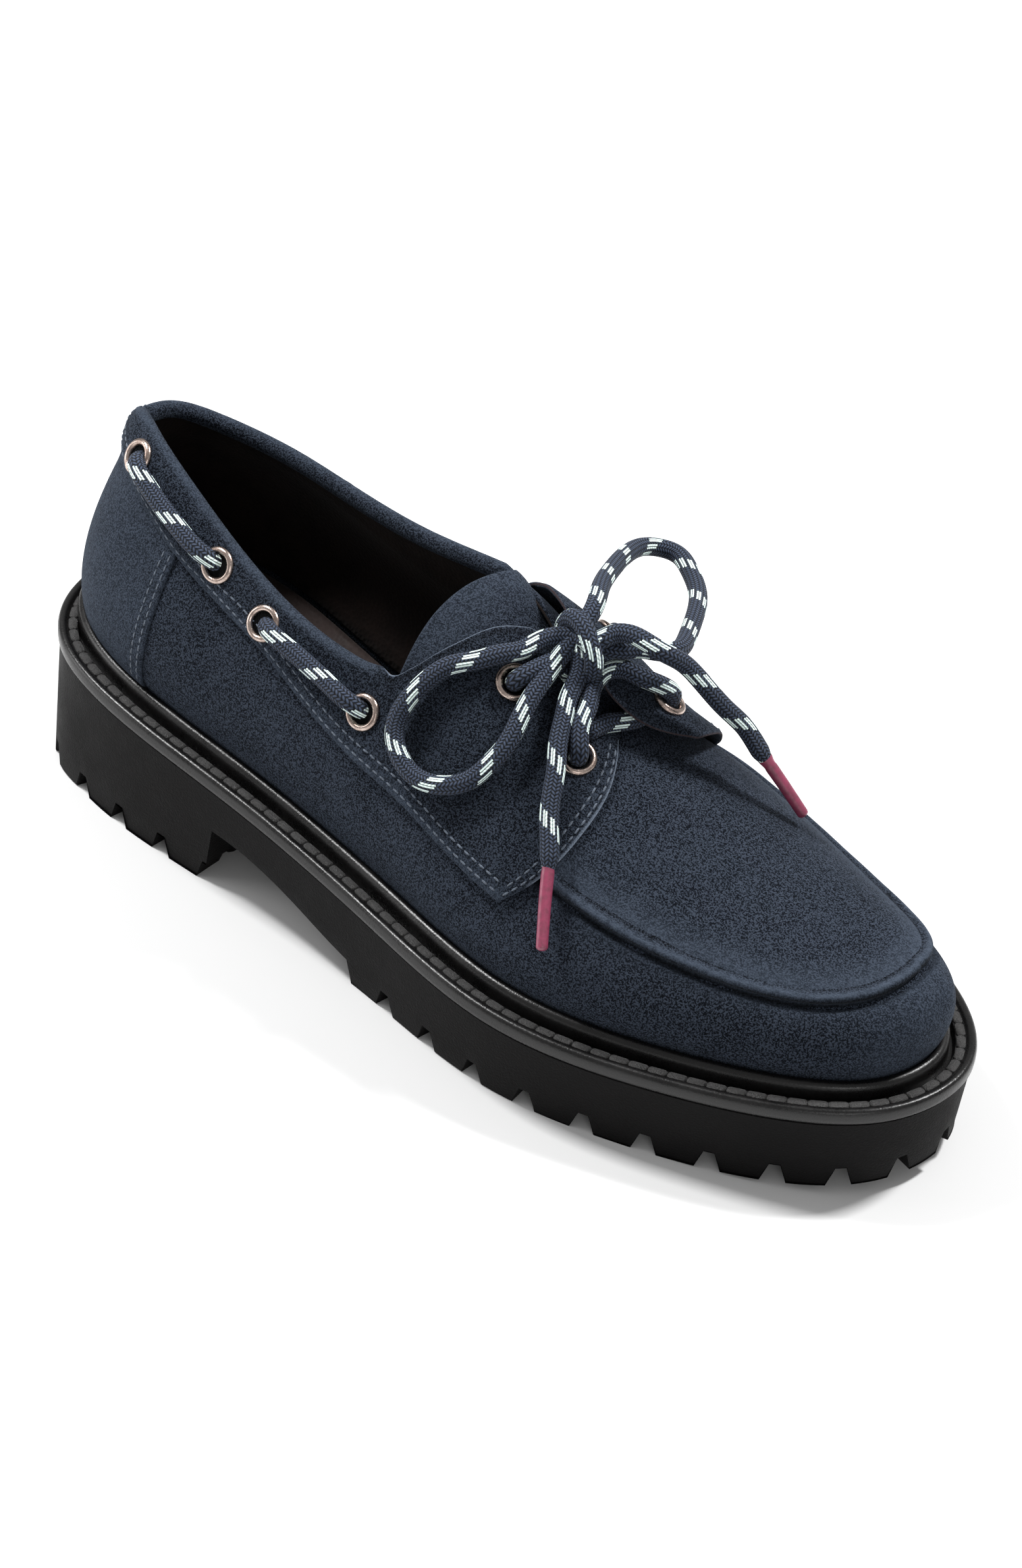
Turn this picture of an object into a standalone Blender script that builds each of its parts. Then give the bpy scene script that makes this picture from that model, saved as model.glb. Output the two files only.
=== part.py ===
"""Lace-up moccasin loafer on a lugged rubber sole, right shoe. +X toe, +Y inner side, +Z up.

Tables and lengths are in millimetres and become metres where a mesh is made. The origin is on
the floor, half way along the shoe and half way across it.
"""

import math

import bmesh
import bpy
import numpy as np

MM = 0.001
SHIFT = (-4.5, -0.4, 0.0)  # brings the shoe's middle onto the origin
GAP = 0.3  # between pieces that touch on the real shoe

# Driving sizes
SOLE_LENGTH = 272.0  # outer edge of the welt, heel to toe
FEATHER_INSET = 9.0  # from the welt's edge to the line where the upper meets it
WELT_DEPTH = 4.0  # thickness of the welt below its outer edge
RIB_HEIGHT = 2.5  # the welt's rib beside the upper
HEEL_BREAST = (-55.5, -44.0)  # x of the heel's front corners, on the outer and inner side
UPPER_WALL = 2.0  # leather and lining
BAND_THICK = 1.8  # collar band and lacing tabs
BAND_GAP = 0.7  # from the upper's outer face to the band
TONGUE_THICK = 2.2
TONGUE_DROP = 1.8  # from the vamp's inner face down to the tongue
LUG_HEIGHT = 5.2
LUG_GAP = 2.6  # between lugs at their root, on the sole's side
LUG_TAPER = 3.6  # how much narrower a lug is at its foot
TOE_SPRING = 4.5
LACE_R = 2.25
AGLET_R = 1.5


def table(names, *rows):
    """Columns by name, from a row for each section."""
    return dict(zip(names.split(), zip(*rows)))


# Welt outline: t runs from heel (0) to toe (1), x = -L/2 cos(pi t), y to the outer and inner side
WELT_OUTLINE = table(
    "t outer inner",
    (0.0, -2.2, 2.2),
    (0.1, 13.8, 24.2),
    (0.2, 29.8, 36.7),
    (0.3, 37.3, 39.2),
    (0.4, 39.3, 33.7),
    (0.5, 44.3, 35.7),
    (0.6, 50.3, 49.7),
    (0.7, 43.0, 48.2),
    (0.8, 31.5, 36.2),
    (0.9, 17.0, 20.6),
    (1.0, -3.0, 3.0),
)
# Height of the welt's outer edge and of the sole's underside between the lugs
WELT_HEIGHT = table(
    "x z",
    (-136.0, 42.0),
    (-82.0, 37.0),
    (-41.0, 32.0),
    (0.0, 27.0),
    (41.0, 24.5),
    (82.0, 24.0),
    (136.0, 27.5),
)
UNDERSIDE = table(
    "x z",
    (-136.0, 17.0),
    (-60.0, 17.0),
    (-46.0, 16.2),
    (-27.0, 11.9),
    (-8.0, 6.4),
    (10.0, 5.2),
    (136.0, 5.2),
)

# Sections of the last: t as above, ridge = y of the crest, rise = crest above the feather line,
# full_* = roundness (2 is an ellipse), swell_* = how far the side stands out over the feather
# line, top_* = height of the collar above the floor
SECTIONS = table(
    "t ridge rise full_o full_i swell_o swell_i",
    (0.0, 2.2, 58.0, 2.0, 2.0, 2.0, 2.0),
    (0.06, 2.5, 58.0, 2.0, 2.0, 1.9, 1.9),
    (0.12, 1.7, 58.5, 2.1, 2.0, 1.6, 1.6),
    (0.2, 0.7, 59.5, 2.1, 2.1, 2.5, 2.5),
    (0.3, 0.7, 58.5, 2.1, 2.6, 3.0, 3.5),
    (0.4, 2.2, 60.0, 2.1, 3.0, 3.0, 4.5),
    (0.47, 2.7, 63.5, 1.9, 2.7, 3.0, 4.5),
    (0.5, 3.2, 62.5, 1.9, 2.4, 3.0, 4.0),
    (0.55, 3.7, 52.0, 1.9, 2.0, 3.0, 3.5),
    (0.6, 4.2, 42.5, 2.0, 2.0, 3.0, 3.0),
    (0.65, 4.8, 35.5, 2.1, 2.0, 3.0, 1.5),
    (0.7, 5.2, 30.5, 2.2, 2.0, 3.0, 0.5),
    (0.8, 5.4, 24.0, 2.3, 2.1, 3.0, 1.2),
    (0.9, 5.2, 18.0, 2.5, 2.45, 2.8, 2.8),
    (0.95, 4.4, 12.5, 2.6, 2.6, 3.2, 3.2),
    (1.0, 3.0, 0.0, 2.6, 2.6, 3.2, 3.2),
)
COLLAR = table(
    "t top_o top_i",
    (0.0, 92.5, 92.5),
    (0.06, 94.0, 93.0),
    (0.12, 96.5, 92.0),
    (0.2, 96.0, 89.0),
    (0.3, 88.0, 85.5),
    (0.4, 77.0, 85.0),
    (0.47, 75.5, 88.0),
    (0.5, 77.0, 89.5),
)
SWELL_OVER = 38.0  # height over which the side swells out and comes back
HEEL_LEAN = 14.2  # how far the heel's top leans forward, 50 above the feather line
HEEL_FLAT = 5.5  # how far the last's back is flattened
HEEL_BLUNT = 9.0  # how far the welt's back is flattened
COLLAR_END = 0.473  # t where the collar meets the tab
THROAT_END = 0.56  # t of the vamp's back edge, under the tabs

# Lower edge of the collar band as section fraction u (0 feather, 1 crest), and the tab's outline
BAND_EDGE = table(
    "t u",
    (0.0, 0.56),
    (0.165, 0.52),
    (0.23, 0.485),
    (0.28, 0.435),
    (0.32, 0.4),
    (0.355, 0.37),
    (0.388, 0.335),
    (0.417, 0.3),
    (0.453, 0.275),
    (0.52, 0.275),
    (0.59, 0.29),
)
TAB_TOP = table(
    "k t u",
    (0.0, 0.473, 0.535),
    (0.12, 0.48, 0.57),
    (0.25, 0.487, 0.63),
    (0.4, 0.497, 0.72),
    (0.55, 0.508, 0.83),
    (0.7, 0.525, 0.945),
    (0.82, 0.553, 0.955),
    (0.92, 0.578, 0.945),
    (1.0, 0.592, 0.925),
)
TAB_REACH = {-1: 0.955, 1: 0.92}  # how near the crest the outer and inner tab come, in u
TAB_BOW = 0.022  # how far the tab's front edge bows forward, in t

# Eyelets: t, and how far below the collar's edge in u; then those on the tabs, with u itself
COLLAR_EYELETS = ((0.188, 0.125), (0.323, 0.095), (0.372, 0.1), (0.46, 0.115))
INNER_DROP = 0.04  # how much lower, in u, the inner side's collar eyelets and band edge lie
TAB_EYELETS_OUTER = ((0.532, 0.76), (0.583, 0.77))
TAB_EYELETS_INNER = ((0.535, 0.80), (0.592, 0.85))
EYELET_RADII = (2.6, 4.5)
TAB_LIFT = 6.8  # the inner tab stands off the vamp by this much

FINE_RING, RING = 960, 80  # points round an outline, before and after thinning
LACE_SPACING = 1.8  # diameters between points of a lace's path
KNOT = (20.0, 2.2, 91.5)
KNOT_RADII = (6.6, 6.2, 6.6)
KNOT_CLEAR = ((np.array(KNOT), np.array(KNOT_RADII) + 1.15),)
CROSSING = (
    (32.9, -10.6, 77.5), (31.0, -4.0, 79.9), (28.9, 0.8, 81.8), (29.3, 4.8, 83.5), (31.6, 7.6, 84.6),
    (36.3, 9.2, 85.4),
)
# Routes of the bow, which starts and ends in the knot
LOOP_OUTER = (
    KNOT, (14.2, -3.2, 90.2), (12.4, -8.4, 89.0), (9.8, -12.5, 88.8), (6.4, -16.6, 87.4),
    (1.6, -20.8, 85.5), (-1.8, -25.0, 81.4), (-4.0, -28.6, 76.3), (-4.1, -31.9, 70.4), (-0.2, -34.5, 66.2),
    (5.0, -35.6, 64.1), (12.4, -34.9, 64.8), (17.7, -31.8, 67.2), (20.1, -27.9, 70.8), (21.4, -23.1, 75.2),
    (20.8, -18.2, 79.3), (20.2, -13.4, 82.8), (19.7, -7.6, 85.8), KNOT,
)
LOOP_INNER = (
    KNOT, (18.6, 9.6, 94.4), (13.7, 19.0, 93.6), (8.8, 30.3, 91.0), (4.9, 42.3, 88.0), (5.3, 51.5, 85.6),
    (9.8, 54.9, 84.4), (16.2, 52.0, 84.2), (24.5, 44.3, 84.6), (30.4, 34.6, 85.6), (35.2, 24.5, 86.6),
    (36.9, 17.6, 88.0), (34.6, 13.4, 88.9), (32.0, 10.9, 89.5), (29.3, 7.0, 90.0), KNOT,
)
END_OUTER = (
    KNOT, (24.8, -2.6, 85.1), (25.9, -7.0, 82.4), (28.0, -11.3, 79.6), (30.4, -16.0, 76.6),
    (33.6, -20.4, 73.0), (36.2, -24.9, 68.8), (39.4, -29.2, 64.5), (43.1, -33.2, 60.4),
)
AGLET_OUTER = ((43.4, -33.6, 60.0), (46.6, -38.2, 53.6), (51.2, -44.2, 45.1))
END_INNER = (
    KNOT, (26.6, 2.0, 93.8), (28.4, 4.7, 95.0), (31.5, 6.3, 95.7), (36.8, 7.2, 95.0), (40.4, 8.7, 93.5),
    (43.0, 11.6, 91.0), (46.4, 13.6, 87.6), (53.2, 16.7, 80.5), (57.2, 19.4, 76.0), (62.4, 20.6, 70.0),
)
AGLET_INNER = ((63.0, 20.9, 69.2), (68.1, 22.3, 63.5), (73.4, 23.7, 57.4))


def spline(table, key, at, by="t"):
    """Natural cubic through a table's column."""
    x, y = np.array(table[by], float), np.array(table[key], float)
    h, slope = np.diff(x), np.diff(y) / np.diff(x)
    n = len(x)
    a = np.eye(n)
    b = np.zeros(n)
    for i in range(1, n - 1):
        a[i, i - 1 : i + 2] = h[i - 1], 2 * (h[i - 1] + h[i]), h[i]
        b[i] = 6 * (slope[i] - slope[i - 1])
    m = np.linalg.solve(a, b)
    at = np.clip(np.asarray(at, float), x[0], x[-1])
    i = np.clip(np.searchsorted(x, at) - 1, 0, n - 2)
    p, q = (x[i + 1] - at) / h[i], (at - x[i]) / h[i]
    bend = ((p**3 - p) * m[i] + (q**3 - q) * m[i + 1]) * h[i] ** 2 / 6
    return p * y[i] + q * y[i + 1] + bend


def smooth(value, low=0.0, high=1.0):
    s = np.clip((np.asarray(value, float) - low) / (high - low), 0, 1)
    return s * s * (3 - 2 * s)


def welt_height(x):
    return spline(WELT_HEIGHT, "z", x, "x")


def tread(x):
    """Height of the ground face: flat, then the toe spring."""
    return TOE_SPRING * np.clip((np.asarray(x) - 78) / 58, 0, 1) ** 2


def underside(x):
    return spline(UNDERSIDE, "z", x, "x") + tread(x)


def moved_in(p, inset):
    """A closed plan outline moved inwards along its normals."""
    along = np.roll(p, -1, 0) - np.roll(p, 1, 0)
    along /= np.linalg.norm(along, axis=1)[:, None]
    inward = np.stack([-along[:, 1], along[:, 0]], 1)
    return p + inward * np.broadcast_to(inset, len(p))[:, None]


def rim(count=FINE_RING, blunt=HEEL_BLUNT):
    """The welt's outer edge in plan, from the heel along the outer side to the toe and back."""
    t = np.linspace(0, 1, count // 2 + 1)
    x = -SOLE_LENGTH / 2 * np.cos(np.pi * t)
    flat = x + blunt * np.clip((-100 - x) / (SOLE_LENGTH / 2 - 100), 0, 1) ** 2.5
    outer = np.stack([flat, -spline(WELT_OUTLINE, "outer", t)], 1)
    inner = np.stack([flat, spline(WELT_OUTLINE, "inner", t)], 1)
    return np.vstack([outer, inner[-2:0:-1]])


RIM = rim()
LAST_LINE = moved_in(rim(480, 0.0), FEATHER_INSET)
LINE_OUTER, LINE_INNER = LAST_LINE[:241], np.vstack([LAST_LINE[:1], LAST_LINE[:239:-1]])
HEEL_TIP, TOE_TIP = LAST_LINE[:, 0].min(), LAST_LINE[:, 0].max()


def section_x(t):
    return HEEL_TIP + (TOE_TIP - HEEL_TIP) * (1 - np.cos(np.pi * np.asarray(t, float))) / 2


def feather_y(t, side):
    x = section_x(t)
    sides = [np.interp(x, *edge[np.argsort(edge[:, 0])].T) for edge in (LINE_OUTER, LINE_INNER)]
    return np.where(side < 0, sides[0], sides[1])


def last(t, u, side):
    """Point of the last: t from heel to toe, u from the feather line (0) up to the crest (1), side -1 or 1."""
    t, u = np.clip(t, 0, 1), np.clip(u, 0, 1)
    side = np.broadcast_to(side, t.shape)
    angle = u * math.pi / 2
    full = np.where(side < 0, spline(SECTIONS, "full_o", t), spline(SECTIONS, "full_i", t))
    swell = np.where(side < 0, spline(SECTIONS, "swell_o", t), spline(SECTIONS, "swell_i", t))
    ridge = spline(SECTIONS, "ridge", t)
    across, up = np.cos(angle) ** (2 / full), np.sin(angle) ** (2 / full)
    x = section_x(t)
    y = ridge + (feather_y(t, side) - ridge) * across
    h = spline(SECTIONS, "rise", t) * up
    z = welt_height(x) + RIB_HEIGHT + h
    nose = -np.cos(math.pi * t)
    out_x, out_y = nose**5, side * np.sqrt(np.maximum(1 - nose**2, 0)) * np.cos(angle)
    size = np.hypot(out_x, out_y) + 1e-9
    out = swell * np.sin(math.pi * np.clip(h / SWELL_OVER, 0, 1) ** 0.75)
    flat = HEEL_FLAT * np.clip((-100 - x) / (-100 - HEEL_TIP), 0, 1) ** 5
    lean = flat + (HEEL_LEAN * smooth(1 - t / 0.34) - flat) * np.clip(h / 50, 0, 2) ** 1.5
    return np.stack([x + out_x / size * out + lean, y + out_y / size * out, z], -1)


def skin(t, u, side, grow):
    """A point of the last moved out along its normal by grow."""
    t, u = np.broadcast_arrays(np.asarray(t, float), np.asarray(u, float))
    e = 0.004
    along = last(t + e, u, side) - last(t - e, u, side)
    up = last(t, u + e, side) - last(t, u - e, side)
    normal = np.cross(along, up) * (-np.asarray(side, float)[..., None] if np.ndim(side) else -side)
    normal /= np.linalg.norm(normal, axis=-1, keepdims=True) + 1e-12
    return last(t, u, side) + normal * np.asarray(grow, float)[..., None]


def collar_u(t, side):
    """Section fraction of the collar's edge."""
    t = np.minimum(np.asarray(t, float), COLLAR_END)
    top = np.where(side < 0, spline(COLLAR, "top_o", t), spline(COLLAR, "top_i", t))
    full = np.where(side < 0, spline(SECTIONS, "full_o", t), spline(SECTIONS, "full_i", t))
    h = (top - welt_height(section_x(t)) - RIB_HEIGHT) / spline(SECTIONS, "rise", t)
    return np.arcsin(np.clip(h, 0, 1) ** (full / 2)) * 2 / math.pi


def opening_u(t, side):
    """The upper's edge: along the collar, then across the throat up to the crest."""
    over = np.clip((t - COLLAR_END) / (THROAT_END - COLLAR_END), 0, 1)
    start = collar_u(t, side)
    return start + (1 - start) * over**0.8


def band_edge(t, side):
    """Section fraction of the collar band's lower edge."""
    inner = (collar_u(t, 1) - collar_u(t, -1) - INNER_DROP * smooth(t, 0, 0.1)) * (1 - smooth(t, 0.4, 0.59))
    return spline(BAND_EDGE, "u", t) + (inner if side > 0 else 0.0)


def eyelet_places(side):
    tab = TAB_EYELETS_OUTER if side < 0 else TAB_EYELETS_INNER
    lower = INNER_DROP if side > 0 else 0.0
    return [(t, float(collar_u(t, side)) - drop - lower) for t, drop in COLLAR_EYELETS] + list(tab)


# ---------------------------------------------------------------- meshes


def material(name, colour, roughness, metallic=0.0):
    found = bpy.data.materials.get(name)
    if found:
        return found
    made = bpy.data.materials.new(name)
    made.use_nodes = True
    shader = made.node_tree.nodes["Principled BSDF"]
    shader.inputs["Base Color"].default_value = (*colour, 1)
    shader.inputs["Roughness"].default_value = roughness
    shader.inputs["Metallic"].default_value = metallic
    return made


def make(name, points, faces, finish, smooth_shaded=True):
    """An object from points in millimetres; points at one place are joined."""
    mesh = bpy.data.meshes.new(name)
    mesh.from_pydata([tuple(p) for p in np.asarray(points, float).reshape(-1, 3) * MM], [], faces)
    work = bmesh.new()
    work.from_mesh(mesh)
    bmesh.ops.remove_doubles(work, verts=work.verts, dist=1e-6)
    bmesh.ops.dissolve_degenerate(work, edges=work.edges, dist=1e-7)
    work.to_mesh(mesh)
    work.free()
    if smooth_shaded:
        mesh.shade_smooth()
        mesh.set_sharp_from_angle(angle=math.radians(40))
    mesh.materials.append(finish)
    obj = bpy.data.objects.new(name, mesh)
    obj.location = [c * MM for c in SHIFT]
    bpy.context.scene.collection.objects.link(obj)
    return obj


def sheet_faces(rows, columns, closed=False, start=0):
    """Quads of a grid whose rows run counterclockwise seen from the side they face."""
    faces = []
    for i in range(rows if closed else rows - 1):
        j = (i + 1) % rows
        for k in range(columns - 1):
            faces.append((start + i * columns + k, start + j * columns + k,
                          start + j * columns + k + 1, start + i * columns + k + 1))
    return faces


def plate(name, outside, inside, finish):
    """A closed wall between two grids of the same size."""
    rows, columns = outside.shape[:2]
    half = rows * columns
    faces = sheet_faces(rows, columns)
    faces += [tuple(half + i for i in reversed(f)) for f in faces]
    edge = [(i, 0) for i in range(rows)] + [(rows - 1, k) for k in range(1, columns)]
    edge += [(i, columns - 1) for i in range(rows - 2, -1, -1)] + [(0, k) for k in range(columns - 2, 0, -1)]
    ids = [i * columns + k for i, k in edge]
    for a, b in zip(ids, ids[1:] + ids[:1]):
        faces.append((a, half + a, half + b, b))
    return make(name, np.concatenate([outside.reshape(-1, 3), inside.reshape(-1, 3)]), faces, finish)


def ladder(count, start, flip=False):
    """Quads between the outer and inner halves of a closed ring, to cap it."""
    faces = []
    for k in range(count // 2):
        a, b, c, d = k, k + 1, (count - k - 1) % count, (count - k) % count
        face = tuple(start + i for i in (a, b, c, d))
        faces.append(face[::-1] if flip else face)
    return faces


def slab(name, levels, finish):
    """A closed solid from rings stacked from the bottom up, capped at both ends."""
    count = len(levels[0])
    points = np.concatenate(levels)
    faces = []
    for k in range(len(levels) - 1):
        for i in range(count):
            j = (i + 1) % count
            faces.append((k * count + i, k * count + j, (k + 1) * count + j, (k + 1) * count + i))
    faces += ladder(count, 0, flip=True) + ladder(count, (len(levels) - 1) * count)
    return make(name, points, faces, finish)


def tube(name, route, radius, finish, samples=0, clear=()):
    """A round cord along a smooth curve through hand-chosen points."""
    path = curve_through(np.array(route, float), clear)
    samples = samples or max(4, int(np.ceil(run_length(path)[-1] / (LACE_SPACING * radius * 2))) + 1)
    path = evenly(path, samples)
    curve = bpy.data.curves.new(name, "CURVE")
    curve.dimensions = "3D"
    curve.bevel_depth = radius * MM
    curve.bevel_resolution = 2
    curve.use_fill_caps = True
    line = curve.splines.new("POLY")
    line.points.add(samples - 1)
    middle = path.mean(0)
    for point, place in zip(line.points, (path - middle) * MM):
        point.co = (*place, 1)
    curve.materials.append(finish)
    obj = bpy.data.objects.new(name, curve)
    obj.location = (middle + SHIFT) * MM
    bpy.context.scene.collection.objects.link(obj)
    return obj


def run_length(path):
    return np.concatenate([[0], np.cumsum(np.linalg.norm(np.diff(path, axis=0), axis=1))])


def evenly(path, samples):
    run = run_length(path)
    at = np.linspace(0, run[-1], samples)
    return np.stack([np.interp(at, run, path[:, k]) for k in range(3)], 1)


def curve_through(route, clear=()):
    """A natural cubic through the route, without what lies inside the clear ellipsoids."""
    table = {"t": run_length(route), "x": route[:, 0], "y": route[:, 1], "z": route[:, 2]}
    fine = np.linspace(0, table["t"][-1], 60 * len(route))
    path = np.stack([spline(table, key, fine) for key in "xyz"], 1)
    for centre, radii in clear:
        path = path[np.linalg.norm((path - centre) / radii, axis=1) > 1]
    return path


def joined(name, obj, others):
    """One solid from obj and the others, by a union."""
    helpers = bpy.data.collections.new(name + "_pieces")
    bpy.context.scene.collection.children.link(helpers)
    for other in others:
        for owner in list(other.users_collection):
            owner.objects.unlink(other)
        helpers.objects.link(other)
        other.hide_render = True
        other.display_type = "WIRE"
    union = obj.modifiers.new("union", "BOOLEAN")
    union.operation = "UNION"
    union.operand_type = "COLLECTION"
    union.collection = helpers
    union.solver = "EXACT"
    return obj


# ---------------------------------------------------------------- sole


def side_inset(z, x):
    """The sole's side leans in from under the welt to the ground, and stands straight at the heel."""
    top = welt_height(x) - WELT_DEPTH
    return 0.6 + (1.6 - 2.4 * smooth((-95 - x) / 25)) * np.clip(1 - z / top, 0, 1)


def side_ring(height, extra=0.0, step=FINE_RING // RING):
    """A ring of the sole's side at the heights that height(x) gives."""
    plan = rim()
    z = height(plan[:, 0])
    plan = moved_in(plan, side_inset(z, plan[:, 0]) + extra)
    return np.column_stack([plan, z])[::step]


def heel_block(finish):
    """The heel below the waist, with its concave breast across the front."""
    rows, hollow = 14, 3.5
    levels = []
    for base in (LUG_HEIGHT, 13.0, 19.5):
        edge = side_ring(lambda x, base=base: np.full_like(x, base), 0.25, 2)
        sides = edge[:241], np.vstack([edge[:1], edge[:239:-1]])
        stop = [np.searchsorted(s[:, 0], x) for s, x in zip(sides, HEEL_BREAST)]
        outer, inner = [s[np.round(np.linspace(0, k, rows)).astype(int)] for s, k in zip(sides, stop)]
        across = np.linspace(0, 1, 7)[1:-1, None]
        breast = outer[-1] * (1 - across) + inner[-1] * across
        breast[:, 0] -= hollow * np.sin(math.pi * across[:, 0])
        levels.append(np.vstack([outer, breast, inner[:0:-1]]))
    count = len(levels[0])
    points = np.concatenate(levels)
    faces = []
    for k in range(2):
        for i in range(count):
            j = (i + 1) % count
            faces.append((k * count + i, k * count + j, (k + 1) * count + j, (k + 1) * count + i))
    faces += [tuple(range(count))[::-1], tuple(range(2 * count, 3 * count))]
    return make("heel_block", points, faces, finish)


def lug(at, width, reach, root, finish):
    """A tapered block from the sole's side inwards; at is the run round the welt's edge."""
    run = run_length(np.vstack([RIM, RIM[:1]]))
    here = lambda s: np.stack([np.interp(s % run[-1], run, np.append(RIM[:, k], RIM[0, k])) for k in (0, 1)])
    inward = lambda s: (lambda d: np.array((-d[1], d[0])) / np.hypot(*d))(here(s + 2) - here(s - 2))
    turn = abs(np.cross(inward(at - width / 2), inward(at + width / 2)))
    points = []
    for foot in (True, False):
        z = np.full(1, float(tread(here(at)[0])) if foot else root(here(at)[0]) + 2.0)
        taper = LUG_TAPER if foot else 0.0
        for s, deep in ((-1, False), (0, False), (1, False), (1, True), (-1, True)):
            half = (width - taper) / 2
            out = here(at + s * half) + inward(at + s * half) * (side_inset(z[0], here(at)[0]) + 0.3)
            if deep:
                half = max(width - reach * turn, 0.3 * width) / 2 - taper / 4
                along = np.array((inward(at)[1], -inward(at)[0]))
                out = here(at) + inward(at) * (reach - taper / 4) + along * half * s
            points.append((*out, z[0]))
    faces = [(4, 3, 2, 1, 0), (5, 6, 7, 8, 9)]
    faces += [(k, (k + 1) % 5, 5 + (k + 1) % 5, 5 + k) for k in range(5)]
    return make("lug", points, faces, finish, False)


def lug_row(start, stop, count, root, reach, finish):
    """Lugs of one width round the edge, from one place (x, side) to another."""
    run = run_length(np.vstack([RIM, RIM[:1]]))
    first, final = (run[place_on_rim(*end)] for end in (start, stop))
    if final < first:
        final += run[-1]
    pitch = (final - first + LUG_GAP) / count
    lugs = []
    for k in range(count):
        at = first + pitch * k + (pitch - LUG_GAP) / 2
        x = np.interp(at % run[-1], run, np.append(RIM[:, 0], RIM[0, 0]))
        lugs.append(lug(at, pitch - LUG_GAP, reach(x), root, finish))
    return lugs


def place_on_rim(x, side):
    half = len(RIM) // 2
    ids = np.arange(half) if side < 0 else np.arange(half, len(RIM))
    return int(ids[np.abs(RIM[ids, 0] - x).argmin()])


def stud(x, y, root, turn, finish):
    """A four-lobed stud in the middle of the tread."""
    lobes, wide, narrow = 4, 7.2, 4.3
    points = []
    for z, share in ((float(tread(x)), 1.0), (root + 2.0, 1.12)):
        for k in range(4 * lobes):
            angle = turn + k * math.pi / (2 * lobes)
            radius = (wide, wide * 0.93, narrow, wide * 0.93)[k % 4] * share
            points.append((x + radius * math.cos(angle), y + radius * math.sin(angle), z))
    n = 4 * lobes
    faces = [tuple(range(n))[::-1], tuple(range(n, 2 * n))]
    faces += [(i, (i + 1) % n, n + (i + 1) % n, n + i) for i in range(n)]
    return make("stud", points, faces, finish, False)


def outsole(finish):
    top = side_ring(lambda x: welt_height(x) - WELT_DEPTH - GAP)
    low = side_ring(underside)
    middle = (top + low) / 2
    body = slab("outsole", [low, middle, top], finish)
    pieces = [heel_block(finish)]
    pieces += lug_row((-6.0, -1), (5.0, 1), 21, lambda x: float(underside(x)),
                      lambda x: 22.0 + 9.0 * math.exp(-(((x - 30) / 50) ** 2)), finish)
    pieces += lug_row((HEEL_BREAST[1] - 0.8, 1), (HEEL_BREAST[0] - 0.8, -1), 13, lambda x: LUG_HEIGHT,
                      lambda x: 23.0, finish)
    for x, y in ((-92.0, 0.5), (-70.0, 0.5)):
        pieces.append(stud(x, y, LUG_HEIGHT, math.pi / 4, finish))
    for x, y in ((14.0, -6.8), (34.5, 1.7), (49.5, -7.8), (57.0, 8.2), (70.6, -1.8), (91.0, 7.7)):
        pieces.append(stud(x, y, float(underside(x)), math.pi / 4, finish))
    return joined("outsole", body, pieces)


def feather_ring(inset):
    """The line where the upper meets the sole, in plan, moved inwards."""
    t = np.linspace(0, 1, FINE_RING // 2 + 1)
    outer, inner = (last(t, np.zeros_like(t), side)[:, :2] for side in (-1, 1))
    return moved_in(np.vstack([outer, inner[-2:0:-1]]), inset)[:: FINE_RING // RING]


def welt(finish):
    """Ring with a rounded edge, a channel for the stitches and a rib beside the upper."""
    edge = ((0.2, -WELT_DEPTH), (0.0, -1.0), (0.8, 0.0), (2.0, -0.1), (2.5, -0.9))
    rib = ((-2.9, -0.9), (-2.2, 1.7), (-0.5, 2.2), (-0.5, -1.1), (2.0, -1.1), (2.0, -WELT_DEPTH))
    loops = [(moved_in(rim(), inset)[:: FINE_RING // RING], height) for inset, height in edge]
    loops += [(feather_ring(inset), height) for inset, height in rib]
    grid = np.stack([np.column_stack([p, welt_height(p[:, 0]) + height]) for p, height in loops], 1)
    rows, columns = grid.shape[:2]
    faces = sheet_faces(rows, columns, closed=True)
    for i in range(rows):
        j = (i + 1) % rows
        faces.append((i * columns + columns - 1, j * columns + columns - 1, j * columns, i * columns))
    return make("welt", grid, faces, finish)


def insole(finish):
    plan = feather_ring(UPPER_WALL + 0.7)
    low, high = (np.column_stack([plan, welt_height(plan[:, 0]) + h]) for h in (-WELT_DEPTH + 0.2, 0.4))
    return slab("insole", [low, high], finish)


# ---------------------------------------------------------------- upper


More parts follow.
